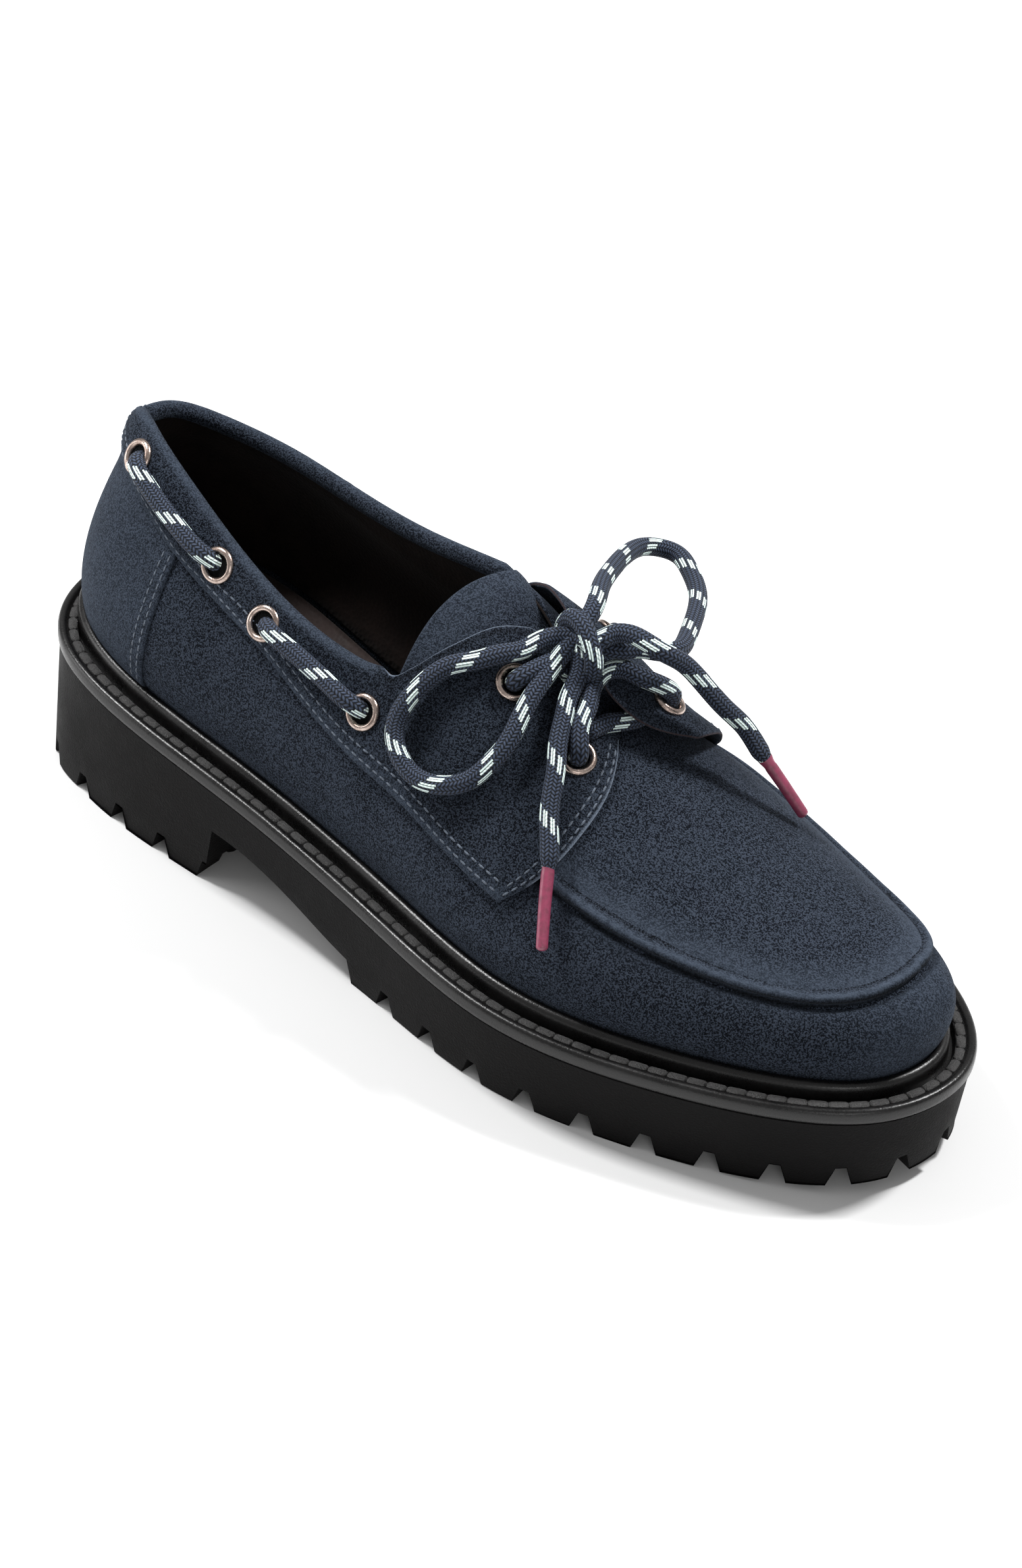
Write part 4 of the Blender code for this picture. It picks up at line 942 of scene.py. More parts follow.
def makeLace(name, route, *nodes):
    # a piece of lace through a route's points
    makeTube(name, curveThrough(route, lace["step"]), lace["radius"], "lace_rope", replaces=nodes)


def makeCollarLaces():
    # all eyelets, and the two runs of lace along each side of the collar
    for side, word in ((-1, "outer"), (1, "inner")):
        for k, (t, u) in enumerate(eyeletPlaces(side)):
            makeEyelet(f"eyelet{word.title()}{k + 1}", t, u, side, f"eyelet_{word}_{k + 1}")
        for first, part in ((0, "back"), (2, "front")):
            makeLace(f"lace{word.title()}{part.title()}", restingRun(side, first), f"lace_{word}_{part}")


# Heights over the face at which a lace leaves its eyelet, where a tie ends in the knot and how far its middle
# stands off the straight line there, and the (t, u, side) places of the bar under the tabs.
frontLaces = {"crossing": {-1: (-2.2, -0.6, 2.0), 1: (-2.2, -0.6, 0.7)},
              "tie": {-1: (-2.2, -0.4, 2.0), 1: (-2.2, -1.3, -0.1)},
              "landing": {-1: (19.0, -3.4, 87.0), 1: (22.5, 6.0, 86.6)},
              "off": {-1: (0.6, 0.0, 1.0), 1: (0.6, 0.0, 0.0)},
              "bar": ((0.578, 0.86, -1), (0.580, 0.91, -1), (0.584, 0.96, -1), (0.587, 1.0, -1),
                      (0.589, 0.93, 1), (0.589, 0.86, 1)), "barOver": 3.05}


def makeFrontLaces():
    # the crossing joins the front eyelets, a tie runs from each upper eyelet into the knot, a bar lies below
    upper, front = 4, 5
    ends = [overFace(eyeletPlaces(side)[front], side, frontLaces["crossing"][side]) for side in (-1, 1)]
    makeLace("laceCrossing", ends[0] + list(crossing) + ends[1][::-1], "lace_crossing")
    for side, word in ((-1, "Outer"), (1, "Inner")):
        start = overFace(eyeletPlaces(side)[upper], side, frontLaces["tie"][side])
        landing = np.array(frontLaces["landing"][side])
        makeLace("laceTie" + word, start + [(start[-1] + landing) / 2 + frontLaces["off"][side], landing])
    makeLace("laceBar", [facePoint(*place, frontLaces["barOver"]) for place in frontLaces["bar"]], "lace_bar")


sole = {"frontLugs": 21, "heelLugs": 13, "gap": 2.6, "taper": 3.6, "shoulder": 0.45,
        "frontEnds": ((-6.0, -1), (5.0, 1)), "breastBack": 0.8, "lugHeight": 5.2, "waist": 26,
        "hollow": 3.5, "hollowWide": 38.0, "hollowHigh": 18.0, "heelReach": 23.0, "reach": 22.0,
        "ballReach": 9.0, "ball": (30.0, 50.0), "turnWide": 9.0, "sharp": 32}
soleRows = {  # rows of points of the outsole, in order
    "topBelow": 0.15, "top": (3.0, 1.1),  # insets of the top's rows
    "wallFrom": 0.35, "wall": (0.0, 0.05, 0.25, 0.5, 0.75), "wallEnd": 0.5,  # shares of the way down the side
    "corner": ((0.0, 0.5), (0.16, 0.14), (0.55, 0.0)),  # inset and height of a lug's rounded corner
    "foot": (0.08, 0.2, 0.34, 0.45, 0.5, 0.56, 0.62, 0.68, 0.8, 0.9, 0.97),  # shares of a lug's reach
    "pinches": ((1.5, 0.56, 0.055), (0.5, 0.94, 0.05)),  # amount, share and width of a lug's waists
    "dip": (0.9, 0.56, 0.05, 2.2), "footEnd": 0.35, "endPinch": 0.8, "flank": 1.1,
    "under": (0.12, 0.3, 0.4),  # shares of the way across to the other side
}


sideShape = {"inset": 0.6, "lean": 1.6, "straighten": 2.4, "heelFrom": -95.0, "heelOver": 25.0}


def sideInset(z, x):
    # the side leans in from under the welt to the ground, and stands straight at the heel
    top = weltHeight(x) - shoe["weltDepth"]
    back = smooth((sideShape["heelFrom"] - x) / sideShape["heelOver"])
    lean = sideShape["lean"] - sideShape["straighten"] * back
    return sideShape["inset"] + lean * np.clip(1 - z / top, 0, 1)


closedRim = np.vstack([rimLine, rimLine[:1]])
rimRun = runLength(closedRim)


def onRim(at):
    # the rim's point at a length along it, round and round
    return atRun(closedRim, at % rimRun[-1])


def runAt(x, side):
    # how far along the rim its outer or inner half comes to x
    half = rimCount // 2
    ids = np.arange(half) if side < 0 else np.arange(half, rimCount)
    return rimRun[ids[np.abs(rimLine[ids, 0] - x).argmin()]]


def lugColumns(first, final, count):
    # stations along the rim for a row of lugs: how far along, how far from the nearest gap's middle, and on
    # which side of it (-1, 0 or 1); one more station closes the row in its last gap
    pitch = (final - first + sole["gap"]) / count
    half = sole["gap"] / 2
    slope = half + sole["taper"] / 2
    rounded = slope + sole["shoulder"]
    near = np.concatenate([[0.0, half * 0.75, half, slope], np.linspace(rounded, pitch / 2, 4)])
    within = np.concatenate([near, (pitch - near[::-1])[1:-1]])
    starts = first - half + pitch * np.arange(count)
    at = (starts[:, None] + within[None, :]).ravel()
    gap, away = np.minimum(within, pitch - within), np.sign(pitch / 2 - within)
    gap, away = (np.append(np.tile(v, count), 0) for v in (gap, away))
    return np.append(at, at[0] + pitch * count), gap, away


def soleStations():
    # Stations round the rim from the heel's middle, so that station k faces station -k: how far along, how
    # far from the nearest gap and on which side, on the heel or not, on a lug's row or not, and how near to
    # the heel's front face.
    total = rimRun[-1]
    breast = [runAt(x - sole["breastBack"], side) for x, side in zip(shoe["heelBreast"], (-1, 1))]
    front = lugColumns(*(runAt(*end) for end in sole["frontEnds"]), sole["frontLugs"])
    heel = lugColumns(breast[1], breast[0] + total, sole["heelLugs"])
    outerWaist = np.linspace(heel[0][-1] - total, front[0][0], sole["waist"])[1:-1]
    innerWaist = np.linspace(front[0][-1], heel[0][0], sole["waist"])[1:-1]
    none = np.zeros(sole["waist"] - 2)
    s = np.concatenate([heel[0], outerWaist + total, front[0] + total, innerWaist + total])
    gap = np.concatenate([heel[1], none, front[1], none])
    away = np.concatenate([heel[2], none, front[2], none])
    onHeel = np.arange(len(s)) < len(heel[0])
    onLugs = np.concatenate([np.ones(len(heel[0])), none, np.ones(len(front[0])), none])
    middle = (len(heel[0]) - 1) // 2
    s, gap, away, onHeel, onLugs = (np.roll(v, -middle) for v in (s, gap, away, onHeel, onLugs))
    apart = [np.abs(s % total - end) for end in breast]
    turn = np.max([bell(np.minimum(a, total - a), sole["turnWide"]) for a in apart], 0)
    return s, gap, away, onHeel, onLugs, turn


def makeOutsole():
    # A row is a ring of points at an inset from the rim and a height. The rows run from the top's middle over
    # its edge, down the side, under each lug to its inner end, up that to the hollow between the lugs, and
    # across to the middle. Near the heel's front face the lugs turn to run along it.
    s, gap, away, onHeel, onLugs, turn = soleStations()
    count = len(s)
    mirror = (-np.arange(count)) % count
    base = onRim(s)
    x = base[:, 0]
    root = np.where(onHeel, sole["lugHeight"], underside(x))
    raised = np.clip((gap - sole["gap"] / 2) / (sole["taper"] / 2), 0, 1) * onLugs
    low = root + (treadHeight(x) - root) * raised
    top = weltHeight(x) - shoe["weltDepth"] - soleRows["topBelow"]
    tangent = unit(onRim(s + 2) - onRim(s - 2))
    inward = np.stack([-tangent[:, 1], tangent[:, 0]], 1)
    inward = unit(inward * (1 - turn[:, None]) + unit(base[mirror] - base) * turn[:, None])
    reach = np.where(onHeel, sole["heelReach"],
                     sole["reach"] + sole["ballReach"] * bell(x - sole["ball"][0], sole["ball"][1]))
    slope = (sole["gap"] + sole["taper"]) / 2
    fromGap = away * np.clip(gap / slope, 0, 1)

    def row(inset, z, pinch=0.0):
        moved = onRim(s + fromGap * pinch) + inward * np.broadcast_to(inset, count)[:, None]
        return np.column_stack([moved, z])

    rows = [row(inset, top) for inset in soleRows["top"]]
    wallTop = top - soleRows["wallFrom"]
    for share in soleRows["wall"]:
        z = wallTop + (low + soleRows["wallEnd"] - wallTop) * share
        rows.append(row(sideInset(z, x), z))
    rows += [row(sideInset(low, x) + inset, low + height) for inset, height in soleRows["corner"]]
    dip, dipAt, dipWide, dipFrom = soleRows["dip"]
    for share in soleRows["foot"]:
        pinch = sum(amount * bell(share - at, wide) for amount, at, wide in soleRows["pinches"])
        notch = dip * bell(share - dipAt, dipWide) * bell(gap - slope, dipFrom) * raised
        rows.append(row(reach * share, low + notch, pinch))
    rows.append(row(reach, low + soleRows["footEnd"] * raised, soleRows["endPinch"]))
    rows.append(row(reach + soleRows["flank"], root))
    inner = rows[-1][:, :2]
    for share in soleRows["under"]:
        spot = inner + (inner[mirror] - inner) * share
        rows.append(np.column_stack([spot, np.where(onHeel, sole["lugHeight"], underside(spot[:, 0]))]))
    grid = np.stack(rows, 1)
    # the heel's front face is hollow: the stations next to it move back, most in the middle of the shoe
    width = 1 - np.clip(np.abs(grid[..., 1]) / sole["hollowWide"], 0, 1) ** 2
    grid[..., 0] -= sole["hollow"] * width * turn[:, None] * (grid[..., 2] < sole["hollowHigh"])
    faces, _ = gridFaces(count, len(rows), closeRows=True)
    k = np.arange(count // 2)
    ladder = np.stack([k, k + 1, (count - k - 1) % count, (count - k) % count], 1) * len(rows)
    bottom = (ladder + len(rows) - 1)[:, ::-1]
    makePiece("outsole", grid, np.concatenate([faces[:, ::-1], bottom, ladder]), "sole_rubber",
              replaces=("outsole",), weld=True, sharp=sole["sharp"])


studs = {"places": ((-92.0, 0.5), (-70.0, 0.5), (14.0, -6.8), (34.5, 1.7), (49.5, -7.8), (57.0, 8.2),
                    (70.6, -1.8), (91.0, 7.7)), "around": 64, "petal": (5.2, 1.9, 0.55), "sunk": 0.6,
         "root": 1.16,
         "rings": ((1.05, 0.9), (1.0, 0.25), (0.94, 0.0), (0.6, 0.0), (0.35, 0.7), (0.2, 0.75),
                   (0.19, 1.9), (0.0, 1.9))}


def makeStuds():
    # Four-leaved studs down the middle of the sole: radius = wide + lobe cos 4a - sharpen cos 8a, where a is
    # phi - pi/4, in rings of (share of that radius, height over the ground).
    phi = np.linspace(0, 2 * math.pi, studs["around"], endpoint=False)
    wide, lobe, sharpen = studs["petal"]
    petal = wide + lobe * np.cos(4 * (phi - math.pi / 4)) - sharpen * np.cos(8 * (phi - math.pi / 4))
    leaf = np.stack([petal * np.cos(phi), petal * np.sin(phi)], 1)
    blocks = []
    for x, y in studs["places"]:
        ground = float(treadHeight(x))
        root = sole["lugHeight"] if x < shoe["heelBreast"][0] else float(underside(x))
        rings = [(studs["root"], root + studs["sunk"])] + [(r, ground + z) for r, z in studs["rings"]]
        loops = [np.column_stack([leaf * r + (x, y), np.full(len(phi), z)]) for r, z in rings]
        blocks.append(np.stack(loops, 1))
    grid = np.stack(blocks)
    faces, _ = gridFaces(*grid.shape[1:3], closeRows=True)
    faces = repeated(faces[:, ::-1], len(grid), grid.shape[1] * grid.shape[2])
    makePiece("soleStuds", grid, faces, "sole_rubber", replaces=("outsole",), weld=True, sharp=sole["sharp"])


weltShape = {
    "edge": ((1.4, -4.0), (0.75, -3.98), (0.3, -3.82), (0.06, -3.35), (0.0, -2.5), (0.0, -1.6),
             (0.16, -0.8), (0.5, -0.28), (0.95, -0.05), (1.5, 0.0), (2.0, -0.12), (2.35, -0.5),
             (2.6, -0.85), (5.0, -1.0), (5.3, -1.7), (5.5, -2.9)),
    "rib": ((-2.7, -2.9), (-2.62, -0.8), (-2.55, 0.5), (-2.42, 1.35), (-2.05, 1.95), (-1.45, 2.3),
            (-0.75, 2.4), (-0.35, 2.15), (-0.25, 1.2), (-0.25, -1.2), (2.4, -1.3), (2.4, -4.0)),
    "sharp": 50, "stitch": (4.72, 2.5, 1.0), "stitches": 130, "inset": 3.75, "below": 1.05, "sink": 0.42,
    "blunt": 9}


def makeWelt():
    # a profile of (inset, height) pairs carried round: first off the welt's edge, then off the feather line
    loops = [(movedIn(rimLine, inset), height) for inset, height in weltShape["edge"]]
    loops += [(featherRing(inset), height) for inset, height in weltShape["rib"]]
    grid = np.stack([np.column_stack([p, weltHeight(p[:, 0]) + height]) for p, height in loops], 1)
    faces, _ = gridFaces(rimCount, len(loops), True, True)
    makePiece("welt", grid, faces, "welt_rubber", replaces=("welt",), sharp=weltShape["sharp"])
    line = movedIn(rimLine, weltShape["inset"])
    path = np.column_stack([line, weltHeight(line[:, 0]) - weltShape["below"]])
    path = np.vstack([path, path[:1]])
    normals = np.tile((0.0, 0.0, 1.0), (len(path), 1))
    pitch = runLength(path)[-1] / weltShape["stitches"]
    makeStitches("weltStitches", [(path, normals)], "welt thread", pitch, weltShape["stitch"],
                 weltShape["sink"], weltShape["blunt"])


footbed = {"rows": 150, "columns": 41, "outline": 600, "inset": 2.4, "ends": 0.05, "above": 0.2,
           "cup": 2.2, "crown": 0.7, "deep": 3.4}


def makeFootbed():
    # a soft sheet inside: v runs from -1 to 1 across, and its height is cup |v|^6 + crown (1 - v^2)
    v = np.linspace(-1, 1, footbed["columns"])[None, :]
    ring = featherRing(footbed["inset"], footbed["outline"])
    heel, toe = ring[:, 0].min() + footbed["ends"], ring[:, 0].max() - footbed["ends"]
    x = (heel + toe) / 2 - np.cos(np.linspace(0, math.pi, footbed["rows"])) * (toe - heel) / 2
    outer, inner = (edge[:, None] for edge in widthsAt(ring, x))
    y = outer + (inner - outer) * (v + 1) / 2
    cup = footbed["cup"] * np.abs(v) ** 6 + footbed["crown"] * (1 - v**2)
    z = weltHeight(x)[:, None] + footbed["above"] + cup
    face = np.stack([np.broadcast_to(x[:, None], y.shape), y, z], -1)
    back = face - (0, 0, footbed["deep"])
    makePiece("footbed", np.concatenate([face, back[:, ::-1]], 1), sheetFaces(*face.shape[:2]), "footbed",
              ("insole",), weld=True)


upperShape = {
    "around": 600, "rows": 132, "wall": 0.85, "innerStep": 8, "skirt": 0.6,
    "straight": 0.3, "gather": 2.69, "front": (0.35, 0.6), "tuck": 0.03, "tuckEnd": (0.44, 0.5),
    "crest": 14.0, "crestUp": (0.04, 0.3), "crestTimes": 3,
    "noseFrom": (0.18, 0.32), "puff": 0.55, "puffEnd": (-2.0, 1.0), "trough": (1.05, 2.2, 1.05),
    "foot": (0.0, 0.06), "seamShade": (0.9, 1.95, 0.75), "seamShadeFrom": (0.2, 0.26),
    "paleAndHighlight": (0.55, -1.5, 5.0), "toePale": (0.25, 0.97, 0.05),
}
apron = {"length": 0.914, "width": {-1: 0.755, 1: 0.81}, "full": 2.2}


def upperPlaces(count, rows, side):
    # (t, u) of the upper's grid on one side: straight up the sections in the back, and in front gathered
    # towards the throat along straight lines of the plan X = -cos(pi t), Y = sin(pi t) cos(pi u / 2)
    straight, late = upperShape["straight"], 1 - upperShape["straight"]
    outerT = np.linspace(0, 1, count // 2 + 1)
    gathered = 1 - (1 - np.clip((outerT - straight) / late, 0, 1)) ** upperShape["gather"]
    innerT = np.where(outerT < straight, outerT, straight + (shoe["throatEnd"] - straight) * gathered)
    wide = smooth(outerT, *upperShape["front"])[:, None]
    w = np.linspace(0, 1, rows)[None, :]
    below = upperShape["tuck"] * (1 - smooth(innerT, *upperShape["tuckEnd"]))
    edge = (openingU(innerT, side) - below)[:, None]
    share = (1 - np.cos(edge * w * math.pi / 2)) / (1 - np.cos(edge * math.pi / 2))
    xOuter, xInner = -np.cos(math.pi * outerT)[:, None], -np.cos(math.pi * innerT)[:, None]
    yOuter = np.sqrt(np.maximum(1 - xOuter**2, 0))
    yInner = np.cos(edge * math.pi / 2) * np.sqrt(1 - xInner**2)
    x, y = xOuter + (xInner - xOuter) * share, yOuter + (yInner - yOuter) * share
    plainT, plainU = outerT[:, None] + (innerT - outerT)[:, None] * w, edge * w
    planT = np.arccos(np.clip(-x, -1, 1)) / math.pi
    planU = np.arccos(np.clip(y / np.sqrt(np.maximum(1 - x**2, 1e-12)), 0, 1)) * 2 / math.pi
    planU[:, 0] = 0
    return plainT * (1 - wide) + planT * wide, plainU * (1 - wide) + planU * wide


def upperGrid(count, rows):
    # both sides in one ring: up the outer side from heel to toe, and back on the inner side
    (outerT, outerU), (innerT, innerU) = (upperPlaces(count, rows, side) for side in (-1, 1))
    back = slice(-2, 0, -1)
    t, u = np.concatenate([outerT, innerT[back]]), np.concatenate([outerU, innerU[back]])
    side = np.repeat([-1.0, 1.0], [len(outerT), len(innerT) - 2])
    points = np.concatenate([last(outerT, outerU, -1), last(innerT, innerU, 1)[back]])
    return points, t, u, side


def apronDistance(t, u, side, grid):
    # Millimetres outside the apron's seam, whose plan is a superellipse of X and Y: its radius less 1, over
    # how fast that radius grows on the surface. Also X itself.
    x = -np.cos(math.pi * t)
    y = np.sqrt(np.maximum(1 - x**2, 0)) * np.cos(u * math.pi / 2)
    width = np.where(side < 0, apron["width"][-1], apron["width"][1])[:, None]
    r = ((np.abs(x) / apron["length"]) ** apron["full"] + (y / width) ** apron["full"]) ** (1 / apron["full"])
    down, over = slopes(grid, True)
    rDown, rOver = slopes(r, True)
    a, b, c = (down * down).sum(-1), (down * over).sum(-1), (over * over).sum(-1)
    growth = np.abs(c * rDown**2 - 2 * b * rDown * rOver + a * rOver**2)
    steep = np.sqrt(growth / np.maximum(a * c - b * b, 1e-9))
    return (r - 1) / np.maximum(steep, 1e-4), x


creases = (  # soft troughs: (x, y, z) of a point, direction, length, width, depth
    ((62.0, -22.0, 57.0), (0.35, 1.0, 0.3), 16.0, 3.4, 0.45),
    ((74.0, -14.0, 55.0), (0.25, 1.0, 0.2), 20.0, 3.6, 0.4),
    ((30.0, -40.0, 48.0), (0.5, 0.2, 1.0), 14.0, 3.8, 0.5),
    ((-2.0, -38.0, 50.0), (0.7, 0.0, 1.0), 16.0, 4.6, 0.5),
    ((-62.0, -33.0, 58.0), (-0.2, 0.0, 1.0), 18.0, 5.0, 0.4),
    ((20.0, 42.0, 46.0), (0.4, 0.1, 1.0), 16.0, 4.4, 0.5),
    ((-40.0, 36.0, 54.0), (0.5, 0.0, 1.0), 18.0, 5.0, 0.5),
)
swell = {"height": 0.22, "first": (9.0, 13.0), "second": (12.0, 17.0)}


def softness(points):
    # listed creases, each a bell along and across its line, on a slow swell of the leather
    x, y, z = np.moveaxis(points, -1, 0)
    (a, b), (c, d) = swell["first"], swell["second"]
    depth = swell["height"] * np.sin(x / a + z / b) * np.sin(y / c + z / d)
    for place, direction, length, width, deep in creases:
        away = points - np.array(place)
        line = unit(np.array(direction, float))
        along = away @ line
        across = np.linalg.norm(away - along[..., None] * line, axis=-1)
        depth = depth - deep * bell(along, length) * bell(across, width)
    return depth


def makeUpper():
    # The last's surface, puffed up inside the apron's seam with a trough along its outer side, and a wall
    # inside it; its lowest row runs down behind the welt's rib.
    count, rows = upperShape["around"], upperShape["rows"]
    grid, t, u, side = upperGrid(count, rows)
    # both sides meet on the crest in front: there the rings are averaged with their neighbours
    across, up = np.arange(count)[:, None] - count // 2, np.linspace(0, 1, rows)[None, :]
    nearCrest = (bell(across, upperShape["crest"]) * smooth(up, *upperShape["crestUp"]))[..., None]
    for _ in range(upperShape["crestTimes"]):
        grid = grid * (1 - nearCrest) + evened(grid, "wrap") * nearCrest
    distance, noseX = apronDistance(t, u, side, grid)
    front = smooth(noseX, *upperShape["noseFrom"])
    puff = upperShape["puff"] * (1 - smooth(distance, *upperShape["puffEnd"])) * front
    deep, troughAt, troughWide = upperShape["trough"]
    trough = deep * bell(distance - troughAt, troughWide) * front
    fade = smooth(up, *upperShape["foot"])
    grid = grid + facing(grid, True) * ((puff - trough + softness(grid)) * fade)[..., None]
    wall = grid - facing(grid, True) * upperShape["wall"]
    inner = wall[:, ::upperShape["innerStep"]]
    inner[:, -1] = wall[:, -1]
    drop = (0, 0, shoe["ribHeight"] + upperShape["skirt"])
    outer, inner = (np.concatenate([g[:, :1] - drop, g], 1) for g in (grid, inner))
    ring = np.concatenate([outer, inner[:, ::-1]], 1)
    # paler just inside the apron's seam, partly wear and partly painted highlight, and paler at the toe's tip
    lightened, lightenedAt, lightenedWide = upperShape["paleAndHighlight"]
    toePaleAmount, toePaleAt, toePaleWide = upperShape["toePale"]
    paleAndHighlight = (lightened * bell(distance - lightenedAt, lightenedWide) * front
            + toePaleAmount * bell(noseX - toePaleAt, toePaleWide))
    # painted shade: a dark band just outside the apron's seam, where the ridge shades the toe's wall
    dark, seamShadeAt, seamShadeWide = upperShape["seamShade"]
    seamShade = dark * bell(distance - seamShadeAt, seamShadeWide) * smooth(noseX, *upperShape["seamShadeFrom"])
    blank = np.zeros(inner.shape[:2])
    paleAndHighlight, seamShade = (np.concatenate([v[:, :1], v, blank], 1) for v in (paleAndHighlight, seamShade))
    faces, _ = gridFaces(*ring.shape[:2], True, True)
    makePiece("upperSuede", ring, faces, "suede", replaces=("upper",),
              attributes={"paleAndHighlight": paleAndHighlight, "hole": seamShade})


lining = {"around": 240, "rows": 48, "face": 0.95, "back": 1.5, "frontGap": 1.4, "front": (0.1, 0.3)}


def makeLining():
    # a thin leather shell inside the upper, a little further off it in front
    grid, t, _, _ = upperGrid(lining["around"], lining["rows"])
    inward = -facing(grid, True)
    gap = lining["frontGap"] * smooth(-np.cos(math.pi * t), *lining["front"])[..., None]
    outer, inner = grid + inward * (lining["face"] + gap), grid + inward * (lining["back"] + gap)
    ring = np.concatenate([outer, inner[:, ::-1]], 1)
    faces, _ = gridFaces(*ring.shape[:2], True, True)
    makePiece("lining", ring, faces, "lining_leather", replaces=("upper",))


ridge = {"profile": ((-3.2, -0.25), (-2.75, 0.08), (-2.25, 0.36), (-1.8, 0.52), (-1.5, 0.72),
                     (-1.1, 1.14), (-0.7, 1.46), (-0.2, 1.66), (0.3, 1.70), (0.75, 1.55), (1.08, 1.22),
                     (1.28, 0.76), (1.34, 0.25), (1.25, -0.5), (-0.8, -0.8)), "halfTurn": 1.42,
         "probes": 2400, "rows": 520, "waves": ((0.10, 2.1, 0.0), (0.08, 5.3, 1.0)), "waveShare": 0.12,
         "paleAndHighlight": (0.9, 0.1, 0.9), "seamShade": (0.4, 2.05, 0.5), "foot": (0.85, 0.9, 1.28)}


def seamLine(angles):
    # the apron's seam on the last: (X, Y) on the superellipse, turned into (t, u) on each side
    width = np.where(angles < 0, apron["width"][-1], apron["width"][1])
    x = apron["length"] * np.abs(np.cos(angles)) ** (2 / apron["full"])
    y = width * np.abs(np.sin(angles)) ** (2 / apron["full"])
    t = np.arccos(-x) / math.pi
    u = np.arccos(np.clip(y / np.sqrt(1 - x**2), 0, 1)) * 2 / math.pi
    return t, u, np.where(angles < 0, -1.0, 1.0)


def makeRidge():
    # a rolled edge: the profile (across, height) carried along the apron's seam, its height waving a little
    t, u, side = seamLine(np.linspace(-ridge["halfTurn"], ridge["halfTurn"], ridge["probes"]))
    base = skin(t, u, side, np.zeros_like(t))
    at = np.linspace(0, runLength(base)[-1], ridge["rows"])
    path = atRun(base, at)
    up = unit(evened(unit(atRun(base, at, axesAt(t, u, side)[0]))))
    outward = unit(np.cross(unit(np.gradient(path, axis=0)), up))
    out, height = np.array(ridge["profile"]).T
    wave = sum(size * np.sin(at / length + start) for size, length, start in ridge["waves"])
    height = height[None, :] * (1 + ridge["waveShare"] * wave[:, None])
    grid = path[:, None] + outward[:, None] * out[None, :, None] + up[:, None] * height[..., None]
    rows, columns = grid.shape[:2]
    faces, _ = gridFaces(rows, columns, closeColumns=True)
    caps = [list(range(columns))[::-1], list(range((rows - 1) * columns, rows * columns))]
    # painted highlight along the ridge's crest; painted shade at its outer foot and in a thin line along its
    # inner side
    crestHighlight, crestHighlightAt, crestHighlightWide = ridge["paleAndHighlight"]
    dark, seamShadeAt, seamShadeWide = ridge["seamShade"]
    footShade, *foot = ridge["foot"]
    paleAndHighlight = crestHighlight * bell(out - crestHighlightAt, crestHighlightWide)
    hole = footShade * smooth(out, *foot) + dark * bell(out + seamShadeAt, seamShadeWide)
    attributes = {"paleAndHighlight": np.tile(paleAndHighlight, (rows, 1)), "hole": np.tile(hole, (rows, 1))}
    makePiece("apronSeam", grid, [list(f) for f in faces] + caps, "suede", replaces=("upper",),
              attributes=attributes)


counterSeam = table("u t", (0.0, 0.270), (0.095, 0.275), (0.155, 0.277), (0.235, 0.279), (0.33, 0.28),
                    (0.5, 0.28))
counter = {"columns": 56, "rows": 260, "over": 0.42, "thick": 0.95, "edge": 0.6, "underBand": 0.09,
           "backEnd": 0.30, "skirt": 2.6, "pitch": 2.5, "seam": (3, 8), "seamSteps": 160, "probe": 20,
           "paleAndHighlight": (0.22, 0.3)}


def makeCounter():
    # The heel's overlay, from seam to seam round the back and up to under the collar band: k runs from the
    # heel's middle to the seam, w from the welt up. Its rows are then set along it again, closer together
    # at its two seams.
    w = np.linspace(0, 1, counter["columns"])[None, :]
    k = np.linspace(0, 1, counter["rows"] // 2)[:, None]
    half = {}
    for side in (-1, 1):
        u = (bandEdge(counter["backEnd"] * k, side) + counter["underBand"]) * w
        t = spline(counterSeam, "t", u, "u") * k
        half[side] = skin(t, u, side, np.full(t.shape, counter["over"]))
    middle = np.concatenate([half[-1][::-1], half[1][1:]])[::-1]
    middle = np.concatenate([middle[:, :1] - (0, 0, counter["skirt"]), middle], 1)
    probe = middle[:, counter["probe"]]
    stations, thin = leafStations([runLength(probe)[-1]], counter["rows"], counter["edge"])
    middle = atRun(probe, stations[0], middle)
    # paler all over the counter, and more so at its rounded edges
    plain, edge = counter["paleAndHighlight"]
    paleAndHighlight = np.repeat((edge * (1 - thin) + plain)[:, None], middle.shape[1], 1)
    outside, normal = makeLeaf("counter", middle, counter["thick"], thin, np.ones(middle.shape[1]), "suede",
                               ("upper",), {"paleAndHighlight": paleAndHighlight})
    run = runLength(outside[:, counter["probe"]])
    first, fromLast = counter["seam"]
    column = np.linspace(first, middle.shape[1] - fromLast, counter["seamSteps"])
    lines = []
    for inset in seam["insets"]:
        for at in (inset, run[-1] - inset):
            row = np.full(len(column), np.interp(at, run, np.arange(len(run))))
            lines.append((onGrid(outside, row, column), onGrid(normal, row, column)))
    makeStitches("counterStitches", lines, "seam thread", counter["pitch"])


band = {"thick": 1.2, "face": 1.7, "roll": 1.6, "flange": 1.3, "collarRows": 190, "tabRows": 96,
        "columns": 76, "tabRun": 46.0, "frontEdge": 0.7, "above": 0.006, "corner": (12, 5),
        "foldEnd": {-1: (0.440, 0.474), 1: (0.462, 0.500)}, "puff": 0.35, "pressed": (0.45, 3.0),
        "meet": (0.12, (1, 0.9, 0.6)), "soft": 0.5, "softUp": (0.1, 0.5), "stitchPitch": 2.45,
        "stitchEnd": {-1: 7, 1: 30}, "stitchSteps": (900, 200)}


